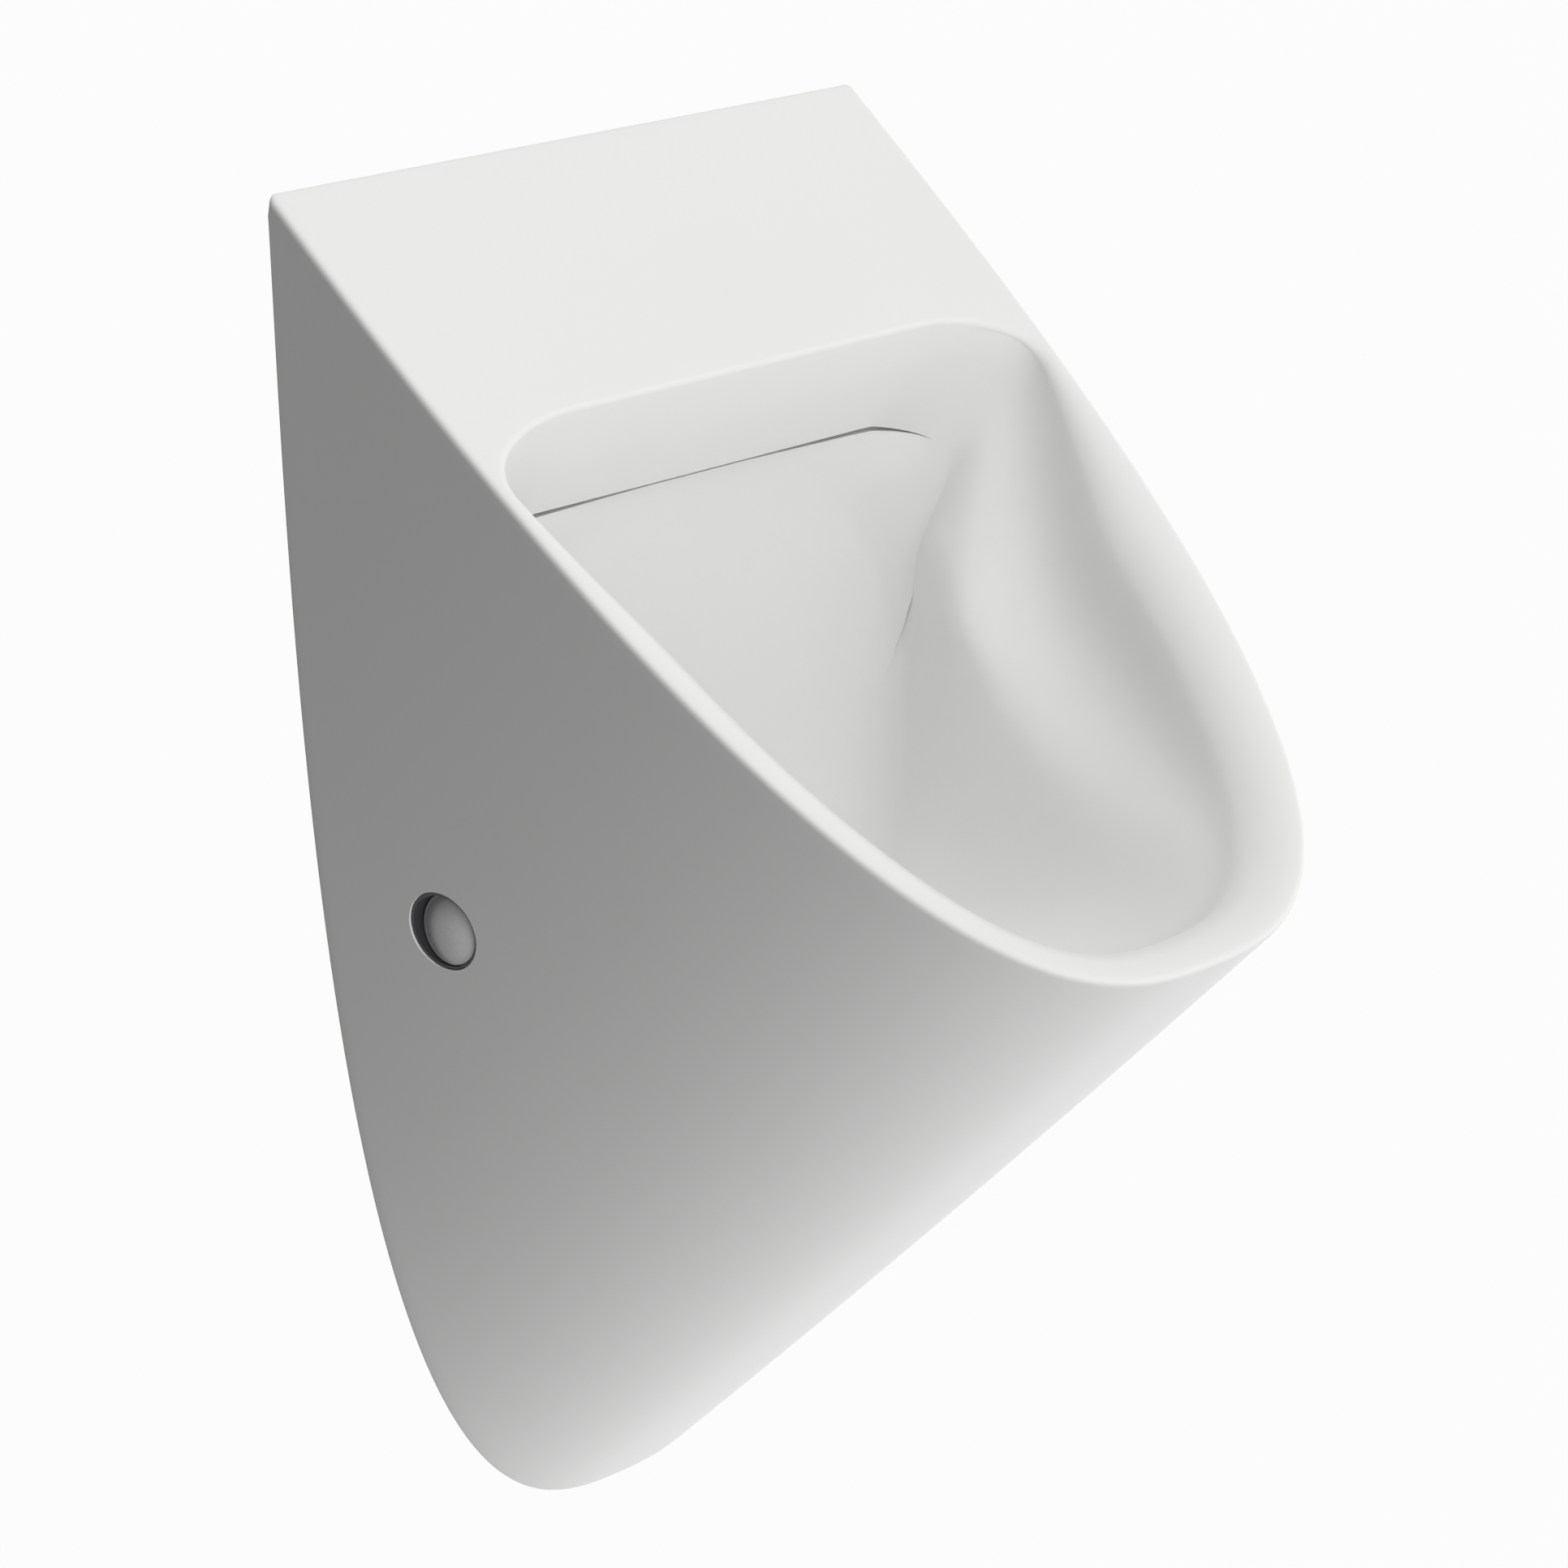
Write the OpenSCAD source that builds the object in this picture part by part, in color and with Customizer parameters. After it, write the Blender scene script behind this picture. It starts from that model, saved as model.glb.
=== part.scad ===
// Wall hung urinal of glazed vitreous china with its concealed inlet, trap and fixings.
// X runs to the right, the wall is the plane y = 0, the bowl faces -Y and +Z is up.
// The origin lies on the wall, midway between the screws of the two hanging hooks.

/* [Ceramic body] */
// Width across the top edge
body_w = 330; // [320:1:340]
// Reach of the rim's front tip from the wall
body_d = 325; // [315:1:335]
// Height from the top edge to the lowest point
body_h = 580; // [570:1:590]
// Height of the rim's front tip above the lowest point
rim_rise = 297; // [290:1:305]
// Thickness of the outer skin
skin_t = 9; // [8.5:0.1:9.5]
// Thickness of the slanted rim plate
rim_plate_t = 11; // [10:0.1:12]
// Thickness of the bowl's own wall
bowl_t = 8.5; // [8:0.1:9]
// Width of the flange that lies on the wall
flange_w = 18; // [16:0.5:20]
// Thickness of the flange that lies on the wall
flange_t = 12; // [10:0.5:13]
// Height of the blunt rear edge at the top
top_edge = 6; // [5:0.5:8]
// Swell of the skin between rim and wall
skin_swell = 2; // [1:0.1:3]

/* [Mouth and bowl] */
// Distance down the rim plane from the top edge to the mouth
mouth_top = 124; // [122:0.5:127]
// Distance from the body's side to the straight part of the mouth's upper edge
mouth_in = 65; // [62:1:70]
// Length down the rim plane of the mouth's upper corners
mouth_corner = 30; // [26:1:34]
// Width of the flat land between the outer edge and the rolled edge
rim_land = 3.5; // [3:0.1:4.5]
// Width of the rolled edge at the sides
roll_side = 26; // [24:0.5:27]
// Width of the rolled edge at the front
roll_front = 20; // [18:0.5:22]
// Depth of the rolled edge
roll_depth = 22; // [20:0.5:24]
// Radius of the hood's upper edge
hood_edge = 2.5; // [2:0.1:3]
// Distance from the wall to the bowl's flat back
back_gap = 62; // [61:0.5:64]
// Depth of the hood's lip below the top edge
lip_drop = 129; // [127:0.5:131]
// Distance from the body's side to the bowl's flat back
back_in = 43; // [42:0.5:46]
// Depth of the bowl's bottom at its back below the drain seat
floor_drop = 1; // [0.8:0.1:1.5]
// Length over which the bowl's wall keeps square to the rim
wall_dive = 60; // [50:1:66]
// Length over which the bowl's wall runs level at the back
wall_reach = 55; // [45:1:60]
// Swell of the bowl's wall outwards
wall_bulge = 7; // [4:0.5:8]
// Height of the flush slot under the hood
slot_h = 1.6; // [1.2:0.1:2]

/* [Flush chamber and inlet] */
// Distance from the body's side to the flush chamber behind the hood
chamber_in = 77; // [75:1:80]
// Depth of the inlet hole's axis below the top edge
inlet_drop = 96; // [94:0.5:98]
// Radius of the inlet hole in the ceramic
inlet_r = 17.5; // [17:0.1:18]
// Outer radius of the inlet pipe
inlet_pipe_r = 12; // [11:0.1:12.5]
// Wall of the inlet pipe
inlet_pipe_wall = 2; // [1.5:0.1:2.5]
// Radius of the bore in the supply nut
supply_r = 9.4; // [9:0.1:9.8]

/* [Drain and trap] */
// Distance from the wall to the drain's axis
drain_y = 100; // [99:0.5:102]
// Clearance between the trap's cup and the ceramic below it
cup_clear = 1.8; // [1.5:0.1:3]
// Radius of the drain hole in the ceramic
drain_r = 22.5; // [22:0.1:23]
// Radius of the drain flange
waste_flange_r = 34; // [33:0.5:35]
// Distance from the wall to the trap's axis
trap_y = 54; // [53:0.1:55]
// Outer radius of the trap's chamber
trap_r = 28; // [27:0.5:29]
// Wall of the trap's plastic parts
trap_wall = 2.5; // [2:0.1:3]
// Inner radius of the outlet socket, for a pipe of 40 mm
outlet_r = 20.1; // [20:0.05:20.3]
// Height of the outlet's axis below the drain seat
outlet_drop = 67; // [66:0.5:68]

/* [Fixings] */
// Distance from the top edge down to the screw of a hanging hook
hang_drop = 80; // [78:0.5:82]
// Distance from the body's side to the middle of a hanging hook
hook_in = 46; // [45:0.5:48]
// Width of a hanging hook
hook_w = 32; // [28:1:34]
// Thickness of the steel of hooks and brackets
steel_t = 2.5; // [2:0.1:3]
// Radius of the screw holes in hooks and brackets
wall_screw_r = 4.25; // [4:0.05:4.5]
// Distance from the wall to the axis of a side hole
side_y = 62; // [61:0.5:63]
// Height of a side hole's axis above the lowest point
side_rise = 294.5; // [293:0.5:296]
// Radius of a side hole
side_r = 16.3; // [16:0.1:16.6]
// Radius of a fixing screw's shank
screw_r = 4; // [3.5:0.1:4.2]
// Height of a cover cap's dome
cap_dome = 2.4; // [2:0.1:2.8]

/* [Hidden] */
$fn = 96;

// Colours as the photograph shows them, or as such parts are sold
glaze_colour = [0.93, 0.93, 0.92];
cap_colour = [0.86, 0.86, 0.85];
black_plastic = [0.12, 0.12, 0.13];
steel_colour = [0.75, 0.76, 0.78];
rubber_colour = [0.16, 0.16, 0.16];
pipe_colour = [0.9, 0.9, 0.88];

// Cuts run past what they cut by this much
over = 1;
// Running clearance of round parts that turn, and the seat left between parts
run_gap = 0.05;
seat_gap = 0.3;
touch_gap = 0.1;
hair = 0.01;

// Powers of the outlines: 2 is an ellipse, more is squarer
side_power = 2.7;
rim_power = 2.64;
wall_power = 2.57;
back_power = 4.5;

// Counts of points along the outlines
shell_steps = 56;
corner_steps = 6;
side_steps = 15;
wall_steps = 7;
roll_steps = 4;

// The rim plane and the straight run of the underside
z_top = hang_drop;
rim_drop = body_h - rim_rise;
mouth_straight = body_w - 2 * mouth_in;
back_w = body_w - 2 * back_in;
chamber_w = body_w - 2 * chamber_in;
hook_x = body_w / 2 - hook_in;
side_drop = body_h - side_rise;
slope_len = norm([body_d, rim_drop]);
slope_cos = body_d / slope_len;
slope_sin = rim_drop / slope_len;
slope_rate = rim_drop / body_d;
under_rise = rim_rise;
under_len = norm([body_d, under_rise]);
under_out = [0, -under_rise / under_len, -body_d / under_len];

// The hollow inside the skin, parallel to the rim plane and to the underside
plate_drop = rim_plate_t / slope_cos;
hollow_w = body_w - 2 * skin_t;
hollow_h = body_h - skin_t * under_len / body_d - plate_drop;
hollow_d = hollow_h * body_d / body_h;

// Heights from the clearance under the trap's cup up to the drain seat
inner_low = z_top - body_h + skin_t * under_len / body_d;
cup_low = inner_low + (trap_y + trap_r) * under_rise / body_d + cup_clear;
cup_floor_z = cup_low + trap_wall;
dip_lift = 4;
dip_reach = 28;
dip_end = cup_floor_z + dip_lift;
chamber_end = dip_end + dip_reach;
socket_wall = 4.8;
thread_h = 13;
socket_out = outlet_r + socket_wall;
outlet_z = chamber_end + thread_h + socket_out;
drain_z = outlet_z + outlet_drop;
drain_drop = z_top - drain_z;
back_bottom = drain_drop + floor_drop;

// A point x across and s down the rim plane, sunk below the plane by depth
function on_rim(x, s, depth) =
    [x, depth * slope_sin - s * slope_cos, z_top - s * slope_sin - depth * slope_cos];
// Shares of the half width and of the fall that one angle of an outline stands for
function across_share(a, power) = sign(cos(a)) * pow(abs(cos(a)), 2 / power);
function down_share(a, power) = pow(abs(sin(a)), 2 / power);

// The rim's outer edge in its own plane, and its outward normal
function rim_edge(a) =
    [body_w / 2 * across_share(a, side_power), slope_len * down_share(a, rim_power)];
function rim_normal(a) =
    let (run = rim_edge(a + 0.5) - rim_edge(a - 0.5))
    [run[1], -run[0]] / norm(run);
function rim_inset(a, inset) = rim_edge(a) - inset * rim_normal(a);
function edge_angle(s) = asin(pow(s / slope_len, rim_power / 2));

// Half width of the skin at a distance from the wall and a depth below the top edge: the outline's angle is halved in on
function skin_drop(a, y) =
    let (reach = body_d * down_share(a, rim_power), share = min(1, y / reach))
    (top_edge + (body_h - top_edge) * down_share(a, wall_power)) * (1 - share) + reach * slope_rate * share;
function skin_angle(y, drop, low, high, turns) =
    let (middle = (low + high) / 2)
    turns == 0 ? middle
    : skin_drop(middle, y) < drop ? skin_angle(y, drop, middle, high, turns - 1)
    : skin_angle(y, drop, low, middle, turns - 1);
function skin_x(y, drop) =
    body_w / 2 * across_share(skin_angle(y, drop, edge_angle(y / slope_cos), 90, 24), side_power);

// A closed skin through rings of the same number of points, with flat ends
module loft(rings) {
    n = len(rings[0]);
    last = (len(rings) - 1) * n;
    sides = [
        for (r = [0:len(rings) - 2]) for (i = [0:n - 1])
            let (p = r * n + i, q = r * n + (i + 1) % n)
            each [[p, q, q + n], [p, q + n, p + n]]
    ];
    polyhedron(
        points = [for (ring = rings) each ring],
        faces = concat([[for (i = [n - 1:-1:0]) i]], sides, [[for (i = [0:n - 1]) last + i]]),
        convexity = 6
    );
}

// Wedge between a rim outline and a wall outline, swollen a little half way
module wedge(w, d, h, z0, swell) {
    angles = [for (i = [0:shell_steps]) 180 * i / shell_steps];
    rim_ring = [
        for (a = angles)
            let (t = down_share(a, rim_power))
            [w / 2 * across_share(a, side_power), -d * t, z0 - d * t * slope_rate]
    ];
    wall_ring = [
        for (a = angles)
            [
                w / 2 * across_share(a, side_power), 0,
                z0 - top_edge - (h - top_edge) * down_share(a, wall_power)
            ]
    ];
    middle_ring = [
        for (i = [0:shell_steps])
            (rim_ring[i] + wall_ring[i]) / 2 + swell * sin(angles[i]) * under_out
    ];
    loft([wall_ring, middle_ring, rim_ring]);
}

// Right half of an outline: a straight top, a corner, a side and the lowest point
function corner_arc(straight, top, wide, high) = [
    for (j = [0:corner_steps])
        let (a = 90 * j / corner_steps)
        [straight + wide * sin(a), top + high * (1 - cos(a))]
];
function mirrored(half) = concat(
    half,
    [for (j = [len(half) - 2:-1:0]) [-half[j][0], half[j][1]]]
);
side_shares = [for (j = [1:side_steps]) j / side_steps];

// Mouth outline in the rim plane, with its side a varying inset from the outer edge
function mouth_outline(straight, top, high, inset_side, inset_front) =
    let (
        a0 = edge_angle(top + high),
        start = rim_inset(a0, inset_side)
    )
    mirrored(concat(
        corner_arc(straight, top, start[0] - straight, start[1] - top),
        [
            for (share = side_shares)
                rim_inset(a0 + (90 - a0) * share, inset_side + (inset_front - inset_side) * share * share)
        ]
    ));
land_outline = mouth_outline(mouth_straight / 2, mouth_top, mouth_corner, rim_land, rim_land);
wall_start = mouth_top + hood_edge;
roll_corner = mouth_corner + roll_depth;
mouth_wall = mouth_outline(
    mouth_straight / 2 - 2 * hood_edge, wall_start, roll_corner,
    rim_land + roll_side, rim_land + roll_front
);

// Outline in an upright plane: straight top, corner, square-shouldered bottom
function upright_outline(straight, top, half_w, high, bottom) =
    mirrored(concat(
        corner_arc(straight, top, half_w - straight, high),
        [
            for (share = side_shares)
                [
                    half_w * across_share(90 * share, back_power),
                    top + high + (bottom - top - high) * down_share(90 * share, back_power)
                ]
        ]
    ));
function upright_ring(outline, y) = [for (p = outline) [p[0], -y, z_top - p[1]]];

// Back of the bowl: an outer outline, and a crease where the flat back begins
back_step = 4;
crease_in = 5;
crease_straight = mouth_straight / 10;
crease_corner = 105;
back_corner = 30;
back_outline = upright_outline(mouth_straight / 2, lip_drop, back_w / 2, back_corner, back_bottom);
crease_outline = upright_outline(
    crease_straight, lip_drop + slot_h, back_w / 2 - crease_in, crease_corner, back_bottom - crease_in
);
back_ring = upright_ring(back_outline, back_gap + back_step);
crease_ring = upright_ring(crease_outline, back_gap);

// Shares of each point: nothing at the hood, most along the floor
corner_blend = [for (j = [0:corner_steps]) pow(sin(90 * j / corner_steps), 2)];
roll_shares = concat(corner_blend, [for (share = side_shares) 1]);
floor_shares = concat([for (j = [0:corner_steps]) 0], [for (share = side_shares) pow(sin(90 * share), 2)]);
function both_sides(half) = concat(half, [for (j = [len(half) - 2:-1:0]) half[j]]);
wall_share = both_sides(roll_shares);
floor_share = both_sides(floor_shares);
bowl_middle = (lip_drop + back_bottom) / 2;
rim_up = [0, -slope_sin, slope_cos];
floor_extra = 2;
outward = [
    for (p = back_outline)
        let (way = [p[0], 0, bowl_middle - p[1]])
        way / norm(way)
];
roll_depths = [for (share = wall_share) hood_edge + (roll_depth - hood_edge) * share];

// Quarter of an ellipse from the land down into the bowl
function roll_ring(a) = [
    for (i = [0:len(land_outline) - 1])
        let (p = land_outline[i] + (mouth_wall[i] - land_outline[i]) * sin(a))
        on_rim(p[0], p[1], roll_depths[i] * (1 - cos(a)))
];
// Cubic curve from the foot of the roll to the back: it leaves square to the rim and arrives level,
// and along the hood it is straight
foot_ring = roll_ring(90);
function bowl_ring(t, grow) = [
    for (i = [0:len(foot_ring) - 1])
        let (
            from = foot_ring[i], to = back_ring[i], third = (to - from) / 3,
            swell = outward[i] * wall_bulge * (1 - floor_share[i]),
            dive = from - rim_up * wall_dive * (1 - floor_share[i] / 4) + swell,
            arrive = to + [0, -wall_reach * (1 + floor_share[i] / 2), 0] + swell,
            one = from + third + (dive - from - third) * wall_share[i],
            two = to - third + (arrive - to + third) * wall_share[i]
        )
        from * pow(1 - t, 3) + one * 3 * t * pow(1 - t, 2) + two * 3 * t * t * (1 - t) + to * pow(t, 3)
        + grow * (outward[i] + [0, min(0, outward[i][2]) / 2, 0])
];

module bowl_space() {
    loft(concat(
        [crease_ring],
        [for (j = [wall_steps:-1:1]) bowl_ring(j / wall_steps, 0)],
        [for (j = [roll_steps:-1:0]) roll_ring(90 * j / roll_steps)],
        [[for (p = land_outline) on_rim(p[0], p[1], -over)]]
    ));
}

// The ceramic round the bowl: the same curves grown by the bowl's wall
module bowl_block() {
    grown_mouth = mouth_outline(
        mouth_straight / 2 + bowl_t, mouth_top - bowl_t, mouth_corner + bowl_t,
        rim_land / 2, rim_land / 2
    );
    grown_back = upright_outline(
        mouth_straight / 2 + bowl_t, lip_drop - bowl_t, back_w / 2 + bowl_t,
        back_corner, back_bottom + bowl_t + floor_extra
    );
    mouth_ring = [for (p = grown_mouth) on_rim(p[0], p[1], 0)];
    rear_ring = upright_ring(grown_back, back_gap - bowl_t);
    loft(concat(
        [rear_ring],
        [for (j = [wall_steps - 1:-1:0]) bowl_ring(j / wall_steps, bowl_t)],
        [mouth_ring]
    ));
}

// Flush chamber behind the hood, as an upright profile drawn across the body
chamber_bottom = lip_drop + 2 * back_step;
chamber_front = 82;
chamber_back = 20;
chamber_shell = 10;
chamber_top = 34;
chamber_knee = 102;
chamber_high = 78;
module across(profile, wide) {
    translate([-wide / 2, 0, z_top])
    rotate([90, 0, 90])
    linear_extrude(wide)
    polygon([for (p = profile) [-p[0], -p[1]]]);
}
module chamber_block() {
    across([
        [chamber_back, chamber_top], [chamber_front, chamber_high - chamber_shell],
        [chamber_front, chamber_knee], [back_gap - bowl_t, chamber_bottom + chamber_shell],
        [chamber_back, chamber_bottom + chamber_shell]
    ], chamber_w + 2 * chamber_shell);
}
module chamber_space() {
    across([
        [chamber_back + chamber_shell, chamber_top + 2 * chamber_shell],
        [chamber_front - chamber_shell, chamber_high + chamber_shell / 2],
        [chamber_front - chamber_shell, chamber_knee - chamber_shell / 2],
        [back_gap - bowl_t - over, lip_drop - 2 * over],
        [back_gap - bowl_t - over, chamber_bottom],
        [chamber_back + chamber_shell, chamber_bottom]
    ], chamber_w);
}
// Thin level slot under the hood, running a little way round the bowl's corners:
// half of its plan as distances from the middle and from the wall
slot_back = back_gap - bowl_t - 2 * over;
slot_half = [[112, slot_back], [119, 63], [126, 74], [130, 84]];
module flush_slot() {
    translate([0, 0, z_top - lip_drop - slot_h])
    linear_extrude(slot_h)
    polygon(concat(
        [for (p = slot_half) [p[0], -p[1]]],
        [for (j = [len(slot_half) - 1:-1:0]) [-slot_half[j][0], -slot_half[j][1]]]
    ));
}

// Round solids along the axes
module along_y(r, y0, y1, x, z) {
    translate([x, -y0, z]) rotate([90, 0, 0]) cylinder(r = r, h = y1 - y0);
}
module along_z(r, z0, z1, y) {
    translate([0, -y, z0]) cylinder(r = r, h = z1 - z0);
}
// A body of revolution along the side hole's axis: profile of radius and distance from the middle
module side_turn(side, profile) {
    translate([0, -side_y, z_top - side_drop])
    rotate([0, side * 90, 0])
    rotate_extrude()
    polygon(profile);
}
module side_rod(side, r, x0, x1) {
    translate([side * x0, -side_y, z_top - side_drop])
    rotate([0, side * 90, 0])
    cylinder(r = r, h = x1 - x0);
}

// Stack of the side fixing, as distances from the middle plane. The skin leans where the hole comes out.
side_skin = skin_x(side_y, side_drop);
side_lean_y = (skin_x(side_y - side_r, side_drop) - skin_x(side_y + side_r, side_drop)) / (2 * side_r);
side_lean_z = (skin_x(side_y, side_drop - side_r) - skin_x(side_y, side_drop + side_r)) / (2 * side_r);
side_low = side_skin - side_r * norm([side_lean_y, side_lean_z]);
arm_gap = 0.3;
boss_depth = 16.1;
boss_wall = 4;
boss_in = side_skin - boss_depth;
arm_out = boss_in - arm_gap;
arm_in = arm_out - steel_t;
nut_t = 3.5;
nut_in = arm_in - nut_t;
shoulder_x = boss_in + boss_wall;
bush_floor = 1.6;
bush_sunk = 0.8;
bush_wall = 1.1;
bush_waist = 1.2;
washer_t = 1;
washer_x = shoulder_x + bush_floor;
head_x = washer_x + washer_t;
head_h = 3;
head_r = 6.5;
boss_r = 22;
boss_hole_r = 9;
bush_r = side_r - seat_gap;
cap_sunk = 0.2;
cap_rim = 1.4;
cap_leg = 1.6;
cap_t = 1.6;
cap_edge_x = side_low - cap_sunk - cap_rim;
cap_r = bush_r - bush_wall - seat_gap;
leg_r = bush_r - bush_wall - touch_gap;
leg_wall = 1.2;

arm_past = 10;
arm_reach = side_y + arm_past;
arm_h = 40;
pocket_room = 2;

// The half space outside the leaning skin at the side hole, sunk below it by an amount
module side_outside(side, sunk) {
    reach = 2 * side_r;
    translate([side * (side_skin - sunk), -side_y, z_top - side_drop])
    multmatrix([
        [1, side * side_lean_y, side * side_lean_z, 0], [0, 1, 0, 0], [0, 0, 1, 0], [0, 0, 0, 1]
    ])
    translate([side > 0 ? 0 : -reach, -reach, -reach])
    cube([reach, 2 * reach, 2 * reach]);
}

module side_boss(side) {
    side_rod(side, boss_r, boss_in, side_skin);
}
module side_hole(side) {
    side_rod(side, side_r, shoulder_x, side_skin + skin_t);
    side_rod(side, boss_hole_r, boss_in - over, shoulder_x + over);
    pocket_w = boss_in - nut_in + seat_gap;
    pocket_y = arm_reach + pocket_room;
    pocket_h = arm_h + 2 * pocket_room;
    translate([
        side > 0 ? nut_in - seat_gap : -boss_in, -pocket_y, z_top - side_drop - pocket_h / 2
    ])
    cube([pocket_w, pocket_y - flange_t, pocket_h]);
}

// Hanging lugs under the rim plate, with their pads and hooks
lug_y = 14;
lug_t = 10;
lug_side = 7;
lug_bottom = 54;
pad_t = 2;
module hanging_lug(side) {
    translate([side * hook_x - hook_w / 2 - lug_side, -lug_y - lug_t, z_top - lug_bottom])
    cube([hook_w + 2 * lug_side, lug_t, lug_bottom - chamber_top + lug_t]);
}

// Boss under the drain with a flat seat above and below
seat_t = 12;
boss_bottom = drain_z - seat_t;
seat_room = 2;
seat_r = waste_flange_r + seat_room;
drain_boss_r = 36;
module drain_boss() {
    along_z(drain_boss_r, boss_bottom, drain_z + seat_t, drain_y);
}
module drain_cut() {
    along_z(seat_r, drain_z, drain_z + 2 * seat_t, drain_y);
    along_z(drain_r, boss_bottom - over, drain_z + over, drain_y);
}

// Opening inside the wall flange
module flange_opening() {
    top = plate_drop + flange_w / 2;
    bottom = body_h - flange_w * under_len / body_d;
    points = [
        for (i = [0:shell_steps])
            let (a = 180 * i / shell_steps)
            [
                (body_w / 2 - flange_w) * across_share(a, side_power),
                z_top - top - (bottom - top) * down_share(a, wall_power)
            ]
    ];
    translate([0, over, 0])
    rotate([90, 0, 0])
    linear_extrude(flange_t + 2 * over)
    polygon(points);
}

module ceramic_body() {
    inlet_z = z_top - inlet_drop;
    color(glaze_colour)
    difference() {
        wedge(body_w, body_d, body_h, z_top, skin_swell);
        difference() {
            union() {
                intersection() {
                    wedge(hollow_w, hollow_d, hollow_h, z_top - plate_drop, skin_swell);
                    translate([-body_w, -body_d, z_top - body_h])
                    cube([2 * body_w, body_d - flange_t, body_h]);
                }
                flange_opening();
            }
            bowl_block();
            chamber_block();
            drain_boss();
            for (side = [-1, 1]) {
                hanging_lug(side);
                side_boss(side);
            }
        }
        bowl_space();
        chamber_space();
        flush_slot();
        drain_cut();
        along_y(inlet_r, chamber_back - over, chamber_back + chamber_shell + over, 0, inlet_z);
        for (side = [-1, 1]) side_hole(side);
    }
}

// Domed plug with a rim and a slotted clip ring
module cover_cap(side) {
    sphere_r = (pow(cap_r, 2) + pow(cap_dome, 2)) / (2 * cap_dome);
    dome_steps = 10;
    dome_arc = asin(cap_r / sphere_r);
    crown_x = cap_edge_x + cap_rim + cap_dome;
    dome = [
        for (j = [0:dome_steps])
            let (a = dome_arc * (1 - j / dome_steps))
            [sphere_r * sin(a), crown_x - sphere_r * (1 - cos(a))]
    ];
    color(cap_colour)
    difference() {
        union() {
            side_turn(side, concat([[0, cap_edge_x], [cap_r, cap_edge_x]], dome));
            side_turn(side, [
                [leg_r - leg_wall, cap_edge_x - cap_leg], [leg_r, cap_edge_x - cap_leg],
                [leg_r, cap_edge_x + hair], [leg_r - leg_wall, cap_edge_x + hair]
            ]);
        }
        side_turn(side, [
            [0, cap_edge_x - over], [leg_r - leg_wall - hair, cap_edge_x - over],
            [leg_r - leg_wall - hair, cap_edge_x + cap_rim], [0, crown_x - cap_t]
        ]);
        for (turn = [0, 90])
            translate([side * (cap_edge_x - cap_leg / 2), -side_y, z_top - side_drop])
            rotate([turn, 0, 0])
            cube([cap_leg + hair, cap_leg, 3 * cap_r], center = true);
    }
}
module cover_cap_left() { cover_cap(-1); }
module cover_cap_right() { cover_cap(1); }

// Cup that lines the side hole, spreads the screw's load on the shoulder and ends a little below the leaning skin
module fixing_bush(side) {
    bush_out = side_skin + skin_t;
    ledge_x = cap_edge_x - cap_leg - touch_gap;
    color(black_plastic)
    difference() {
        side_turn(side, [
            [screw_r + 4 * touch_gap, shoulder_x], [bush_r, shoulder_x], [bush_r, bush_out],
            [bush_r - bush_wall, bush_out], [bush_r - bush_wall, ledge_x],
            [bush_r - bush_wall - bush_waist, ledge_x], [bush_r - bush_wall - bush_waist, washer_x],
            [screw_r + 4 * touch_gap, washer_x]
        ]);
        side_outside(side, bush_sunk);
    }
}
module fixing_bush_left() { fixing_bush(-1); }
module fixing_bush_right() { fixing_bush(1); }

// Socket screw with its head on the washer and its end in the bracket's nut
module fixing_screw(side) {
    socket_r = 3.5;
    socket_h = 2;
    color(steel_colour)
    difference() {
        union() {
            side_rod(side, head_r, head_x, head_x + head_h);
            side_rod(side, screw_r, nut_in + touch_gap, head_x + hair);
        }
        translate([side * (head_x + head_h - socket_h), -side_y, z_top - side_drop])
        rotate([0, side * 90, 0])
        cylinder(r = socket_r, h = socket_h + over, $fn = 6);
    }
}
module fixing_screw_left() { fixing_screw(-1); }
module fixing_screw_right() { fixing_screw(1); }

module screw_washers() {
    washer_r = 9;
    color(steel_colour)
    for (side = [-1, 1])
        side_turn(side, [
            [screw_r + 2 * touch_gap, washer_x], [washer_r, washer_x],
            [washer_r, head_x], [screw_r + 2 * touch_gap, head_x]
        ]);
}

// Angle bracket: a plate on the wall and an arm along the skin
plate_w = 42;
bracket_hole_in = 26;
bracket_pitch = 22;
module wall_bracket(side) {
    mid_z = z_top - side_drop;
    color(steel_colour)
    difference() {
        union() {
            translate([side > 0 ? arm_out - plate_w : -arm_out, -steel_t, mid_z - arm_h / 2])
            cube([plate_w, steel_t, arm_h]);
            translate([side > 0 ? arm_in : -arm_out, -arm_reach, mid_z - arm_h / 2])
            cube([steel_t, arm_reach, arm_h]);
        }
        side_rod(side, screw_r + run_gap, arm_in - over, arm_out + over);
        for (up = [-1, 1])
            along_y(wall_screw_r, -over, steel_t + over, side * (arm_out - bracket_hole_in),
                mid_z + up * bracket_pitch / 2);
    }
}
module wall_bracket_left() { wall_bracket(-1); }
module wall_bracket_right() { wall_bracket(1); }

module bracket_nuts() {
    nut_r = 7.5;
    color(steel_colour)
    for (side = [-1, 1])
        difference() {
            translate([side * nut_in, -side_y, z_top - side_drop])
            rotate([0, side * 90, 0])
            cylinder(r = nut_r, h = nut_t, $fn = 6);
            side_rod(side, screw_r + run_gap, nut_in - over, nut_in + nut_t + over);
        }
}

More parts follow.
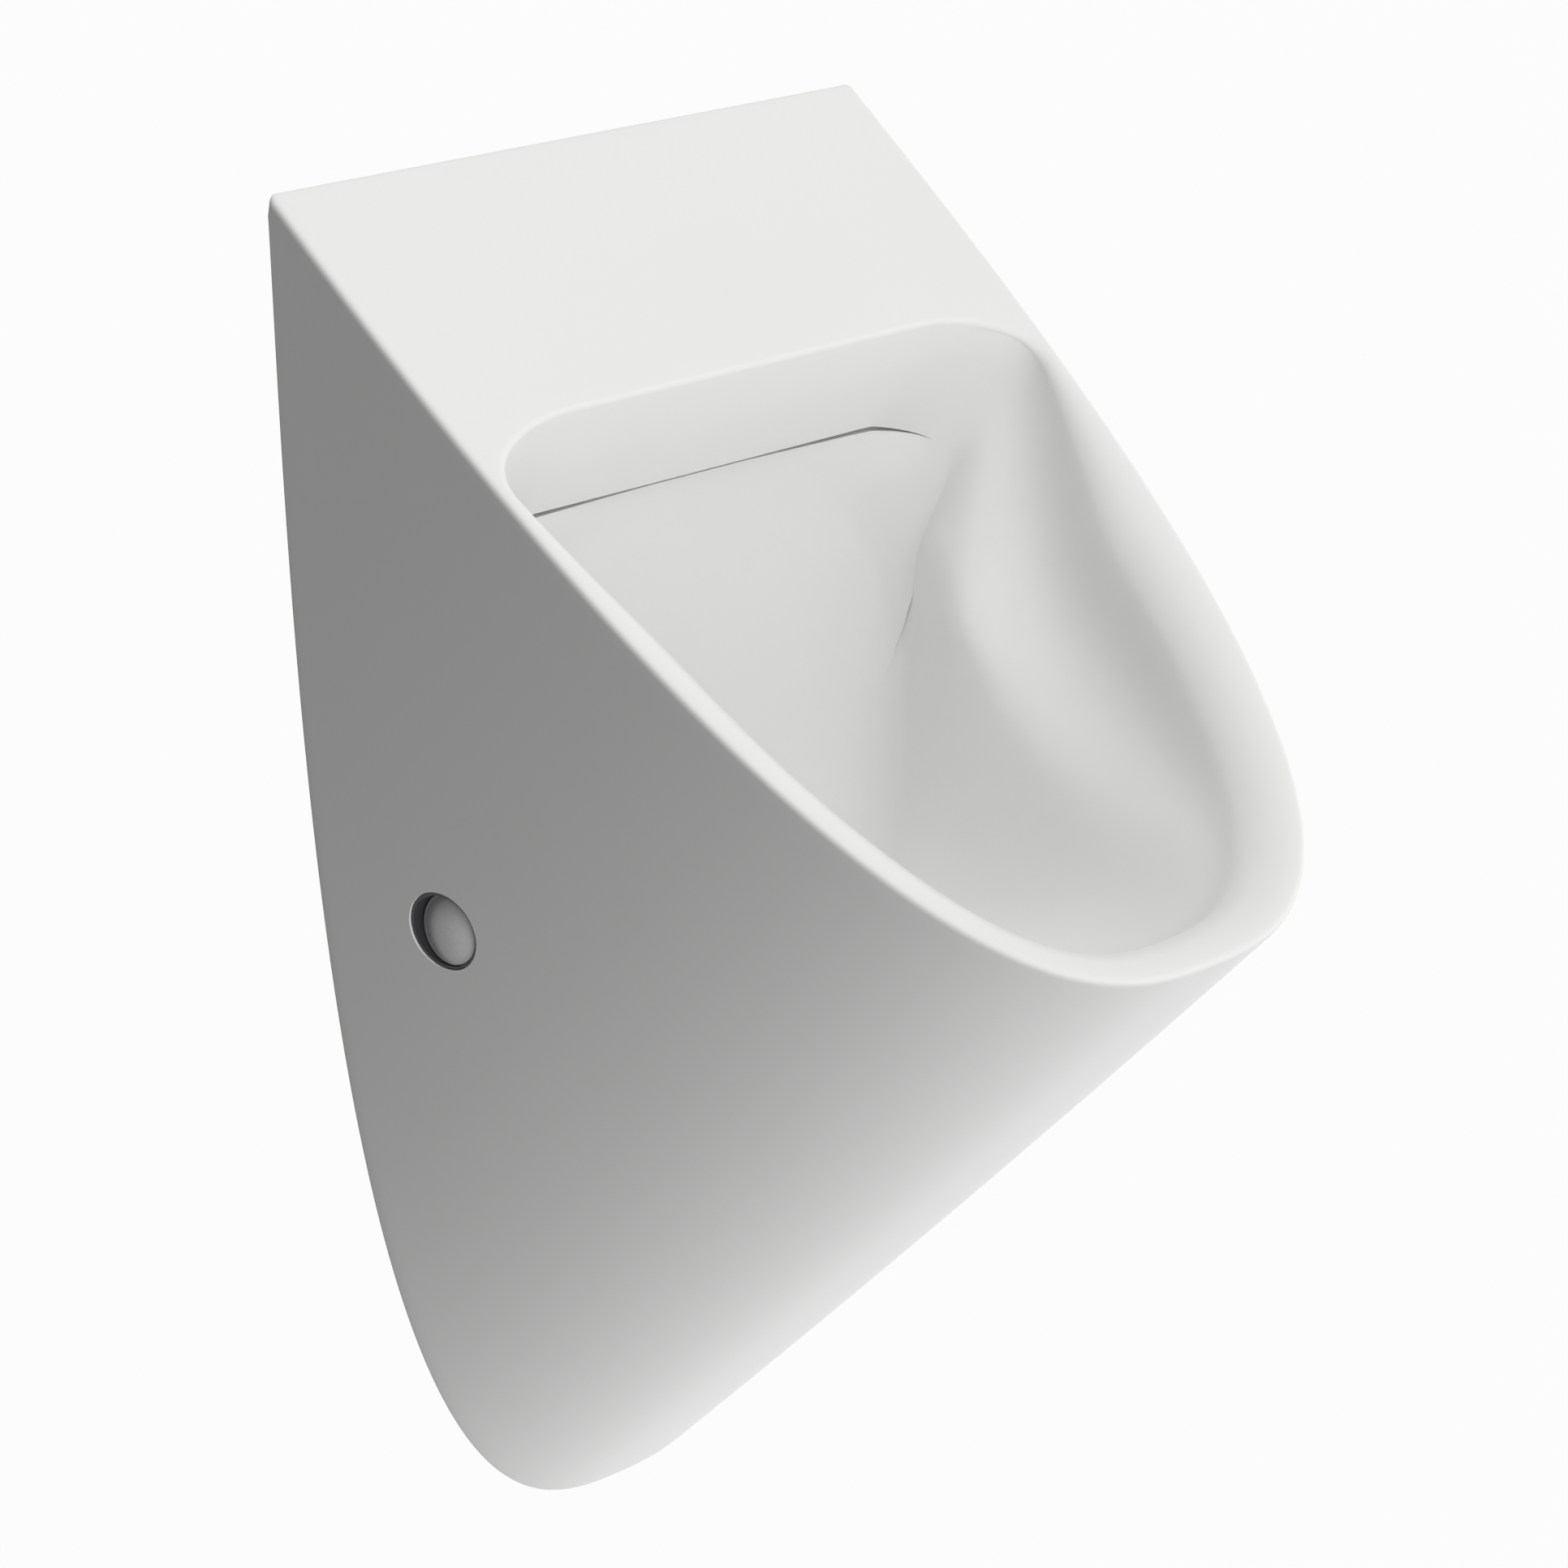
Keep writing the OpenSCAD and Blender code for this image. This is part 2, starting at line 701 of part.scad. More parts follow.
// Steel hook: plate on the wall, a leg and a lip that the lug drops behind
hook_lip = 7;
hook_plate = 44;
leg_y = lug_y + lug_t + pad_t + steel_t;
module hanging_hook(side) {
    leg_z = z_top - lug_bottom - pad_t - steel_t;
    color(steel_colour)
    translate([side * hook_x - hook_w / 2, 0, leg_z])
    difference() {
        union() {
            translate([0, -steel_t, -hook_plate]) cube([hook_w, steel_t, hook_plate + steel_t]);
            translate([0, -leg_y, 0]) cube([hook_w, leg_y, steel_t]);
            translate([0, -leg_y, 0]) cube([hook_w, steel_t, steel_t + hook_lip]);
        }
        along_y(wall_screw_r, -over, steel_t + over, hook_w / 2, -leg_z);
    }
}
module hanging_hook_left() { hanging_hook(-1); }
module hanging_hook_right() { hanging_hook(1); }

module hook_pads() {
    color(black_plastic)
    for (side = [-1, 1])
        translate([side * hook_x - hook_w / 2, -leg_y + steel_t, z_top - lug_bottom - pad_t])
        union() {
            cube([hook_w, lug_t + 2 * pad_t, pad_t]);
            cube([hook_w, pad_t - touch_gap, pad_t + hook_lip - over]);
        }
}

// Rubber sleeve in the inlet hole, with a flange on the wall side
inlet_lip = 4;
inlet_flange_r = inlet_r + inlet_lip;
inlet_flange_t = 3;
inlet_z = z_top - inlet_drop;
seal_lip = 2;
// A ring along Y between two distances from the wall
module ring_y(r_in, r_out, y0, y1, z) {
    difference() {
        along_y(r_out, y0, y1, 0, z);
        along_y(r_in, y0 - over, y1 + over, 0, z);
    }
}
module ring_z(r_in, r_out, z0, z1, y) {
    difference() {
        along_z(r_out, z0, z1, y);
        along_z(r_in, z0 - over, z1 + over, y);
    }
}
panel_in = chamber_back + chamber_shell;
module inlet_seal() {
    color(rubber_colour)
    union() {
        ring_y(inlet_pipe_r + run_gap, inlet_r - touch_gap, chamber_back - hair, panel_in + seal_lip, inlet_z);
        ring_y(inlet_pipe_r + run_gap, inlet_flange_r, chamber_back - inlet_flange_t, chamber_back - hair, inlet_z);
    }
}
// Supply pipe with a collar against the seal and a thin tail that ends in a small flange
collar_t = 3;
collar_y = chamber_back - inlet_flange_t - collar_t;
locknut_t = 7;
pipe_end = 6;
pipe_front = panel_in + seal_lip + locknut_t + pipe_end;
supply_nut_r = 15;
supply_nut_y = 1;
supply_thread = 7;
supply_washer_t = 1.5;
tail_flange_y = supply_nut_y + supply_thread + supply_washer_t;
tail_flange_t = 1.8;
tail_flange_r = supply_r + seat_gap;
tail_r = 7;
tail_wall = 1.5;
shoulder_y = tail_flange_y + tail_flange_t + touch_gap;
module inlet_pipe() {
    color(pipe_colour)
    difference() {
        union() {
            along_y(inlet_pipe_r, collar_y, pipe_front, 0, inlet_z);
            along_y(inlet_flange_r, collar_y, collar_y + collar_t, 0, inlet_z);
            along_y(tail_r, tail_flange_y, collar_y + over, 0, inlet_z);
            along_y(tail_flange_r, tail_flange_y, tail_flange_y + tail_flange_t, 0, inlet_z);
        }
        along_y(inlet_pipe_r - inlet_pipe_wall, collar_y + collar_t, pipe_front + over, 0, inlet_z);
        along_y(tail_r - tail_wall, tail_flange_y - over, collar_y + collar_t + over, 0, inlet_z);
    }
}
module inlet_locknut() {
    locknut_rim = 8;
    locknut_r = inlet_pipe_r + locknut_rim;
    front = panel_in + seal_lip;
    color(black_plastic)
    difference() {
        translate([0, -front, inlet_z])
        rotate([90, 30, 0])
        cylinder(r = locknut_r, h = locknut_t, $fn = 6);
        along_y(inlet_pipe_r + run_gap, front - over, front + locknut_t + over, 0, inlet_z);
    }
}
// Cap on the pipe's end that fans the water out through five ports
module flush_spreader() {
    spreader_wall = 2.5;
    spreader_grip = 5;
    cap_out = inlet_pipe_r + spreader_wall;
    cap_floor = 2;
    port_r = 2.2;
    port_room = 6;
    port_start = 8;
    ports = 5;
    fan = 35;
    y0 = pipe_front - spreader_grip;
    color(black_plastic)
    difference() {
        along_y(cap_out, y0, pipe_front + touch_gap + port_room + cap_floor, 0, inlet_z);
        along_y(inlet_pipe_r + run_gap, y0 - over, pipe_front + touch_gap, 0, inlet_z);
        along_y(inlet_pipe_r - inlet_pipe_wall, pipe_front, pipe_front + touch_gap + port_room, 0, inlet_z);
        for (i = [0:ports - 1])
            translate([0, -pipe_front - touch_gap - port_room / 2, inlet_z])
            rotate([0, 180 + fan * (i - (ports - 1) / 2), 0])
            translate([0, 0, port_start])
            cylinder(r = port_r, h = cap_out - port_start + over);
    }
}
// Union nut for the wall's supply: thread, undercut for the washer and tail flange, shoulder
supply_floor = 1.6;
module supply_nut() {
    color(steel_colour)
    difference() {
        translate([0, -supply_nut_y, inlet_z])
        rotate([90, 30, 0])
        cylinder(r = supply_nut_r, h = shoulder_y - supply_nut_y + supply_floor, $fn = 6);
        along_y(supply_r, supply_nut_y - over, shoulder_y, 0, inlet_z);
        along_y(tail_flange_r + 2 * touch_gap, supply_nut_y + supply_thread, shoulder_y, 0, inlet_z);
        along_y(tail_r + 2 * touch_gap, shoulder_y - over, shoulder_y + supply_floor + over, 0, inlet_z);
    }
}
module supply_washer() {
    color(rubber_colour)
    ring_y(tail_r - tail_wall, tail_flange_r, tail_flange_y - supply_washer_t + hair, tail_flange_y - hair, inlet_z);
}

// Drain stack, from the strainer down to the back nut
flange_gasket_t = 1.5;
flange_t_waste = 2.5;
gasket_t = 2.5;
waste_washer_t = 1.5;
waste_nut_t = 8;
tube_gap = 1;
waste_tube_r = drain_r - tube_gap;
waste_wall = 2.5;
flange_bottom = drain_z + flange_gasket_t;
flange_top = flange_bottom + flange_t_waste;
nut_top = boss_bottom - gasket_t - waste_washer_t;
nut_bottom = nut_top - waste_nut_t;
tube_tail = 11;
tube_bottom = nut_bottom - tube_tail;
nut_margin = 3;
washer_margin = 4;
strainer_t = 1.5;
strainer_seat = 1;

// Flanged tube that clamps the ceramic between its flange and its nut
module waste_flange() {
    color(steel_colour)
    difference() {
        union() {
            along_z(waste_flange_r, flange_bottom, flange_top, drain_y);
            along_z(waste_tube_r, tube_bottom, flange_top, drain_y);
        }
        along_z(waste_tube_r - waste_wall, tube_bottom - over, flange_top + over, drain_y);
        along_z(waste_flange_r - 2 * waste_wall, flange_top - strainer_seat, flange_top + over, drain_y);
    }
}
module flange_gasket() {
    color(rubber_colour)
    ring_z(drain_r + touch_gap, waste_flange_r - touch_gap, drain_z, flange_bottom, drain_y);
}
module waste_gasket() {
    color(rubber_colour)
    ring_z(waste_tube_r + touch_gap, drain_boss_r - nut_margin, boss_bottom - gasket_t, boss_bottom, drain_y);
}
module waste_washer() {
    color(pipe_colour)
    ring_z(waste_tube_r + touch_gap, drain_boss_r - washer_margin, nut_top, nut_top + waste_washer_t, drain_y);
}
module waste_nut() {
    color(pipe_colour)
    difference() {
        translate([0, -drain_y, nut_bottom]) cylinder(r = drain_boss_r - nut_margin, h = waste_nut_t, $fn = 8);
        along_z(waste_tube_r + run_gap, nut_bottom - over, nut_top + over, drain_y);
    }
}
// Dished disc with rings of holes and a skirt that drops into the waste tube
module strainer() {
    strainer_r = waste_flange_r - 2 * waste_wall - touch_gap;
    skirt_r = waste_tube_r - waste_wall - seat_gap;
    skirt_h = 6;
    hole_r = 2;
    ring_pitch = 5.6;
    base = flange_top - strainer_seat;
    color(steel_colour)
    difference() {
        union() {
            along_z(strainer_r, base, base + strainer_t, drain_y);
            along_z(skirt_r, base - skirt_h, base + hair, drain_y);
        }
        along_z(skirt_r - strainer_t, base - skirt_h - over, base, drain_y);
        along_z(hole_r, base - over, base + strainer_t + over, drain_y);
        for (ring = [1, 2])
            for (i = [0:6 * ring - 1])
                translate([0, -drain_y, 0])
                rotate([0, 0, 60 * i / ring])
                translate([ring * ring_pitch, 0, base - over])
                cylinder(r = hole_r, h = strainer_t + 2 * over, $fn = 24);
    }
}

// Bottle trap: the waste tube enters in front, the outlet leaves to the wall
neck_lip = 1;
neck_seal_t = 1.5;
bridge_t = 3;
neck_r = waste_tube_r + trap_wall + neck_lip;
neck_top = nut_bottom - neck_seal_t;
neck_seat = tube_bottom - touch_gap;
bridge_top = neck_seat + bridge_t;
duct_h = 9;
duct_bottom = neck_seat - duct_h;
roof_t = 3;
chamber_roof = duct_bottom - roof_t;
dip_r = 13;
dip_wall = 1.5;
dip_flange = 3;
cup_wall = 3.2;
socket_step = 3;
cup_r = trap_r + cup_wall;
socket_in = trap_y - trap_r - socket_step;
socket_end = 1;
lip_t = 6;
lip_wall = 1.8;
outlet_step = 2.6;
outlet_bore = outlet_r - outlet_step;

module trap_body() {
    color(pipe_colour)
    difference() {
        union() {
            along_z(trap_r, chamber_end, bridge_top, trap_y);
            along_z(neck_r, duct_bottom - roof_t, neck_top, drain_y);
            hull() {
                along_z(trap_r - trap_wall, duct_bottom - roof_t, bridge_top, trap_y);
                along_z(neck_r - trap_wall, duct_bottom - roof_t, bridge_top, drain_y);
            }
            along_y(socket_out, socket_end, trap_y, 0, outlet_z);
        }
        along_z(waste_tube_r + seat_gap, neck_seat, neck_top + over, drain_y);
        along_z(waste_tube_r - waste_wall, duct_bottom, neck_seat + over, drain_y);
        translate([-dip_r, -drain_y, duct_bottom]) cube([2 * dip_r, drain_y - trap_y, duct_h]);
        along_z(dip_r, duct_bottom, neck_seat, trap_y);
        along_z(dip_r + run_gap, chamber_roof - over, duct_bottom + over, trap_y);
        along_z(trap_r - trap_wall, chamber_end - over, chamber_roof, trap_y);
        along_y(outlet_bore, socket_in - over, trap_y, 0, outlet_z);
        along_y(outlet_r, socket_end - over, socket_in, 0, outlet_z);
        along_y(outlet_r + lip_wall, socket_end - over, socket_end + lip_t, 0, outlet_z);
    }
}
module trap_inlet_seal() {
    color(rubber_colour)
    ring_z(waste_tube_r + touch_gap, neck_r, neck_top, nut_bottom - touch_gap, drain_y);
}
// Tube that hangs in the cup and keeps the water seal
module dip_tube() {
    color(black_plastic)
    difference() {
        union() {
            along_z(dip_r, dip_end, duct_bottom, trap_y);
            along_z(dip_r + 2 * dip_wall, chamber_roof - dip_flange, chamber_roof, trap_y);
        }
        along_z(dip_r - dip_wall, dip_end - over, duct_bottom + over, trap_y);
    }
}
// Cup with a ribbed collar that screws onto the chamber
cup_seal_t = 2;
cup_grip = 11.4;
cup_top = chamber_end + cup_grip;
collar_low = 6;
cup_ribs = 12;
module trap_cup() {
    rib_r = 1.6;
    color(black_plastic)
    difference() {
        union() {
            along_z(cup_r, chamber_end - collar_low, cup_top, trap_y);
            along_z(trap_r, cup_floor_z - trap_wall, chamber_end, trap_y);
            for (i = [0:cup_ribs - 1])
                translate([0, -trap_y, chamber_end - collar_low])
                rotate([0, 0, 360 * (i + 0.5) / cup_ribs])
                translate([cup_r, 0, 0])
                cylinder(r = rib_r, h = cup_top - chamber_end + collar_low, $fn = 16);
        }
        along_z(trap_r + run_gap, chamber_end - cup_seal_t, cup_top + over, trap_y);
        along_z(trap_r - trap_wall, cup_floor_z, chamber_end, trap_y);
    }
}
module cup_seal() {
    color(rubber_colour)
    ring_z(trap_r - trap_wall, trap_r - touch_gap, chamber_end - cup_seal_t + hair, chamber_end - hair, trap_y);
}
module outlet_seal() {
    color(rubber_colour)
    ring_y(outlet_r, outlet_r + lip_wall - touch_gap, socket_end, socket_end + lip_t - hair, outlet_z);
}

ceramic_body();
cover_cap_left();
cover_cap_right();
fixing_bush_left();
fixing_bush_right();
fixing_screw_left();
fixing_screw_right();
screw_washers();
wall_bracket_left();
wall_bracket_right();
bracket_nuts();
hanging_hook_left();
hanging_hook_right();
hook_pads();
inlet_seal();
inlet_pipe();
inlet_locknut();
flush_spreader();
supply_nut();
supply_washer();
strainer();
waste_flange();
flange_gasket();
waste_gasket();
waste_washer();
waste_nut();
trap_body();
trap_inlet_seal();
dip_tube();
trap_cup();
cup_seal();
outlet_seal();
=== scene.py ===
"""Wall hung urinal: glazed body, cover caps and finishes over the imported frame, with stage and camera."""

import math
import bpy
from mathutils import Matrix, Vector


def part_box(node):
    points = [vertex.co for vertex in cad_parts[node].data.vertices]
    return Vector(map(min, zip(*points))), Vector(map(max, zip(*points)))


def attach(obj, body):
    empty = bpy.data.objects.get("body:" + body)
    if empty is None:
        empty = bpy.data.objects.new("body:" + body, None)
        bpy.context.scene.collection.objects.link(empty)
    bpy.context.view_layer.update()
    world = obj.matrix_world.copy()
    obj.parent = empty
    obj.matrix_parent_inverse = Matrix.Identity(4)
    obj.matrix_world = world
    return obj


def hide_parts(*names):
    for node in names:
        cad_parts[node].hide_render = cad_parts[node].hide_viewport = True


bl_info = {
    "name": "Wall hung urinal",
    "version": (1, 0, 0),
    "blender": (4, 5, 0),
    "location": "3D View > Sidebar > Urinal",
    "description": "Glazed body, cover caps and fittings of a wall hung urinal",
    "category": "Add Mesh",
}

import bmesh
import bpy
import numpy as np
from bpy.props import FloatProperty, FloatVectorProperty, PointerProperty
from mathutils import Matrix, Vector

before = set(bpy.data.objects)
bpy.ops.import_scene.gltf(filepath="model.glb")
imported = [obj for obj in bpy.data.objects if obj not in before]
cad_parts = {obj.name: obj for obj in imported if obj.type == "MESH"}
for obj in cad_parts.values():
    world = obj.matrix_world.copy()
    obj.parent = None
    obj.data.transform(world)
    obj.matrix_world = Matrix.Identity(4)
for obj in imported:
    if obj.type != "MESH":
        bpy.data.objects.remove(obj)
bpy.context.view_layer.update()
BODY_LOW, BODY_HIGH = (np.array(corner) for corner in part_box("ceramic_body"))
MM = 0.001

# Powers of the superellipses: rim and wall outlines across and down, and the bowl's back
ACROSS_POWER, RIM_POWER, WALL_POWER, BACK_POWER = 2.7, 2.64, 2.57, 4.5


def length(name, description, millimetres):
    return FloatProperty(name=name, description=description, default=millimetres * MM, unit="LENGTH")


def turn_of(name, description, degrees):
    return FloatProperty(name=name, description=description, default=math.radians(degrees), subtype="ANGLE")


def plain(name, description, number):
    return FloatProperty(name=name, description=description, default=number)


def colour_of(name, description, colour):
    words = {"name": name, "description": description}
    return FloatVectorProperty(default=colour, subtype="COLOR", min=0, max=1, **words)


class CeramicSizes(bpy.types.PropertyGroup):
    """Sizes of the glazed body that shape its rim and its bowl"""

    rim_drop: length("Rim drop", "Fall of the rim's front tip below the top edge", 283)
    edge_round: length("Edge rounding", "Reach of the rounding along the rim's outer edge", 3.2)
    wall_round: length("Wall edge rounding", "Reach of the rounding at the wall", 1.6)
    corner_round: length("Corner rounding", "Radius of the two upper corners", 4)
    swell: length("Skin swell", "Swell of the skin half way between rim and wall", 2)
    top_edge: length("Rear land", "Height of the flat land behind the top edge", 6)
    mouth_top: length("Mouth top", "Distance down the rim to the mouth's upper edge", 124)
    roll_side: length("Side roll", "Width of the rolled edge at the sides", 22.5)
    roll_front: length("Front roll", "Width of the rolled edge at the front", 20)
    roll_depth: length("Roll depth", "Depth of the rolled edge", 22)
    wall_dive: length("Wall dive", "How far the bowl's wall keeps square to the rim", 60)
    wall_bulge: length("Wall bulge", "How far the bowl's wall swells outwards under the roll", 16)
    wall_tuck: length("Wall tuck", "Swell of the bowl's wall where it arrives at the back", 1)
    hood_from: plain("Hood end", "Where the hood wall begins to turn into the roll, in corner lengths", 0.6)
    hood_to: plain("Roll start", "Where the roll is full, in lengths of the mouth's corner", 2.1)
    shelf: length("Shelf", "Rise of the soft shelf down the side wall", 25)
    corner_out: length("Corner out", "How far the hood's foot moves out at its corner", 6)
    corner_forward: length("Corner forward", "How far the hood's foot comes forward at its corner", 19)
    corner_up: length("Corner up", "How far the hood's foot stays up at its corner", 7)
    slot_height: length("Slot height", "Height of the flush slot under the hood", 1.8)
    wall_reach: length("Wall reach", "How far the bowl's wall runs level before the back", 55)


class GlazeLook(bpy.types.PropertyGroup):
    """Look of the glaze and of the bare ceramic at the wall"""

    colour: colour_of("Glaze", "Colour of the glaze", (0.93, 0.93, 0.92))
    bare: colour_of("Bare ceramic", "Colour of the unglazed foot at the wall", (0.82, 0.78, 0.71))
    gloss: FloatProperty(name="Roughness", description="Roughness of the glaze", default=0.28, min=0, max=1)


class PlasticLook(bpy.types.PropertyGroup):
    """Colours of the moulded parts"""

    cap: colour_of("Cover cap", "Colour of the cover caps", (0.86, 0.86, 0.85))
    dark: colour_of("Black plastic", "Colour of bushes, pads and cup", (0.045, 0.045, 0.05))
    pipe: colour_of("Pipe plastic", "Colour of trap and inlet pipe", (0.88, 0.88, 0.86))


class StageSettings(bpy.types.PropertyGroup):
    """Camera and light"""

    lens: plain("Lens", "Focal length on a 36 mm sensor, in millimetres", 121.12)
    distance: length("Distance", "Camera's distance from its aim", 2272.7)
    azimuth: turn_of("Azimuth", "Turn of the camera round the object", -47)
    elevation: turn_of("Elevation", "Height angle of the camera", 16.264)
    roll: turn_of("Roll", "Roll of the camera", -1.35)
    high_light: plain("High light", "Strength of the broad light overhead", 3.15)
    front_light: plain("Front light", "Strength of the broad light in front and a little to the left", 0.85)
    low_light: plain("Low light", "Strength of the broad light below and in front", 3.3)
    right_light: plain("Right light", "Strength of the broad light on the right", 2.1)
    rear_light: plain("Rear light", "Strength of the broad light behind the wall side", 0.8)
    tightness: plain("Tightness", "How narrow the broad lights are", 9)
    fill: plain("Surround", "Strength of the even light from all round", 0.005)


def sizes():
    return bpy.context.scene.urinal_ceramic


# Outlines. Half a ring runs from the middle of the top, down the right side to the middle of the front.


def down_share(angle, power):
    """Share of the full fall at an angle of the outline: the sine to the power two over the power."""
    return np.clip(np.sin(angle), 0, 1) ** (2 / power)


def across_share(angle, power):
    """Share of the half width at an angle of the outline: the cosine to the power two over the power."""
    return np.clip(np.cos(angle), 0, 1) ** (2 / power)


class RimPlane:
    """The slanted plane of the rim, with its slope worked out from the body's box."""

    def __init__(self):
        self.half = (BODY_HIGH[0] - BODY_LOW[0]) / 2
        self.depth = BODY_HIGH[1] - BODY_LOW[1]
        self.height = BODY_HIGH[2] - BODY_LOW[2]
        self.top = BODY_HIGH[2]
        self.drop = sizes().rim_drop
        self.length = math.hypot(self.depth, self.drop)
        self.cos, self.sin = self.depth / self.length, self.drop / self.length
        self.normal = np.array([0, -self.sin, self.cos])
        rise = self.height - self.drop
        self.under = np.array([0, -rise, -self.depth]) / math.hypot(self.depth, rise)

    def point(self, across, down, sunk=0):
        """A point across and down the rim plane, sunk below it."""
        across, down, sunk = np.broadcast_arrays(across, down, sunk)
        y = sunk * self.sin - down * self.cos
        return np.stack([across, y, self.top - down * self.sin - sunk * self.cos], -1)

    def edge(self, angle):
        """Outer edge of the rim in its own plane: a superellipse."""
        across = self.half * across_share(angle, ACROSS_POWER)
        return np.stack([across, self.length * down_share(angle, RIM_POWER)], -1)

    def inset(self, angle, amount):
        """The outer edge moved inwards square to itself."""
        step = 1e-4
        run = self.edge(np.minimum(angle + step, math.pi / 2)) - self.edge(angle - step)
        normal = np.stack([run[:, 1], -run[:, 0]], -1)
        size = np.linalg.norm(normal, axis=1, keepdims=True)
        return self.edge(angle) - np.reshape(amount, (-1, 1)) * normal / size

    def angle_at(self, down):
        return math.asin((down / self.length) ** (RIM_POWER / 2))

    def wall(self, angle, extra=0):
        """Outline on the wall for the same angles."""
        land = sizes().top_edge
        fall = land + (self.height - land) * down_share(angle, WALL_POWER)
        across = self.half * across_share(angle, ACROSS_POWER)
        return np.stack([across, 0 * across, self.top - fall - extra], -1)


TOP_COUNT, CORNER_COUNT, SIDE_COUNT = 32, 72, 116
ROLL_RINGS, WALL_RINGS = 15, 57
# Half of the mouth's straight top, the hood's foot below the top edge and its distance from the wall
STRAIGHT, FOOT_DOWN, FOOT_OUT = 100 * MM, 129 * MM, 66 * MM
# Middle of the bowl's back below the top edge, and the land between the outer edge and the roll
MIDDLE_DOWN, LAND = 241 * MM, 3.5 * MM
# Centre of the back wall: its distance from the wall and below the top edge
CENTRE_OUT, CENTRE_DOWN = 62 * MM, 250 * MM


def ring_shares(plane):
    """Shares along the three stretches of half a ring, the side's evened out by arc length."""
    tau = np.linspace(0, 1, TOP_COUNT, endpoint=False)
    phi = np.linspace(0, math.pi / 2, CORNER_COUNT, endpoint=False)
    fine = np.linspace(0, 1, 4000)
    start = plane.angle_at(170 * MM)
    curve = plane.edge(start + (math.pi / 2 - start) * fine)
    length = np.r_[0, np.cumsum(np.linalg.norm(np.diff(curve, axis=0), axis=1))]
    sigma = np.interp(np.linspace(0, length[-1], SIDE_COUNT), length, fine)
    return tau, phi, sigma


def mouth(plane, shares, straight, top, high, inset_side, inset_front):
    """Half of a mouth in the rim plane: straight top, quarter ellipse corner, then an inset of the outer edge."""
    tau, phi, sigma = shares
    a0 = plane.angle_at(top + high)
    start = plane.inset(np.array([a0]), inset_side)[0]
    upper = np.stack([straight * tau, np.full_like(tau, top)], -1)
    corner = np.stack([
        straight + (start[0] - straight) * np.sin(phi), top + (start[1] - top) * (1 - np.cos(phi))
    ], -1)
    side = plane.inset(a0 + (math.pi / 2 - a0) * sigma, inset_side + (inset_front - inset_side) * sigma**2)
    side[-1, 0] = 0
    return np.concatenate([upper, corner, side])


def upright(shares, straight, top, half, high, bottom, y, z_top):
    """Half an outline in an upright plane: straight top, quarter ellipse corner, squarish superellipse below."""
    tau, phi, sigma = shares
    theta = sigma * math.pi / 2
    size = (np.cos(theta) ** BACK_POWER + np.sin(theta) ** BACK_POWER) ** (1 / BACK_POWER)
    upper = np.stack([straight * tau, np.full_like(tau, top)], -1)
    corner = np.stack([straight + (half - straight) * np.sin(phi), top + high * (1 - np.cos(phi))], -1)
    fall = top + high + (bottom - top - high) * np.sin(theta) / size
    side = np.stack([half * np.cos(theta) / size, fall], -1)
    side[-1, 0] = 0
    flat = np.concatenate([upper, corner, side])
    return np.stack([flat[:, 0], np.full(len(flat), -y), z_top - flat[:, 1]], -1)


def mirror_ring(half):
    """Closes half rings of shape (rings, points, 3) by adding their mirror images."""
    other = half[:, -2:0:-1] * np.array([-1, 1, 1])
    return np.concatenate([half, other], 1)


def smooth_step(x):
    x = np.clip(x, 0, 1)
    return x * x * (3 - 2 * x)


def even_out(grid, rows, strength, rounds):
    """Averages each of some rings with its two neighbours, to round a crease between them."""
    for _ in range(rounds):
        inner = (grid[rows - 1] + grid[rows + 1]) / 2 - grid[rows]
        grid[rows] += 0.5 * strength[None, :, None] * inner
    return grid


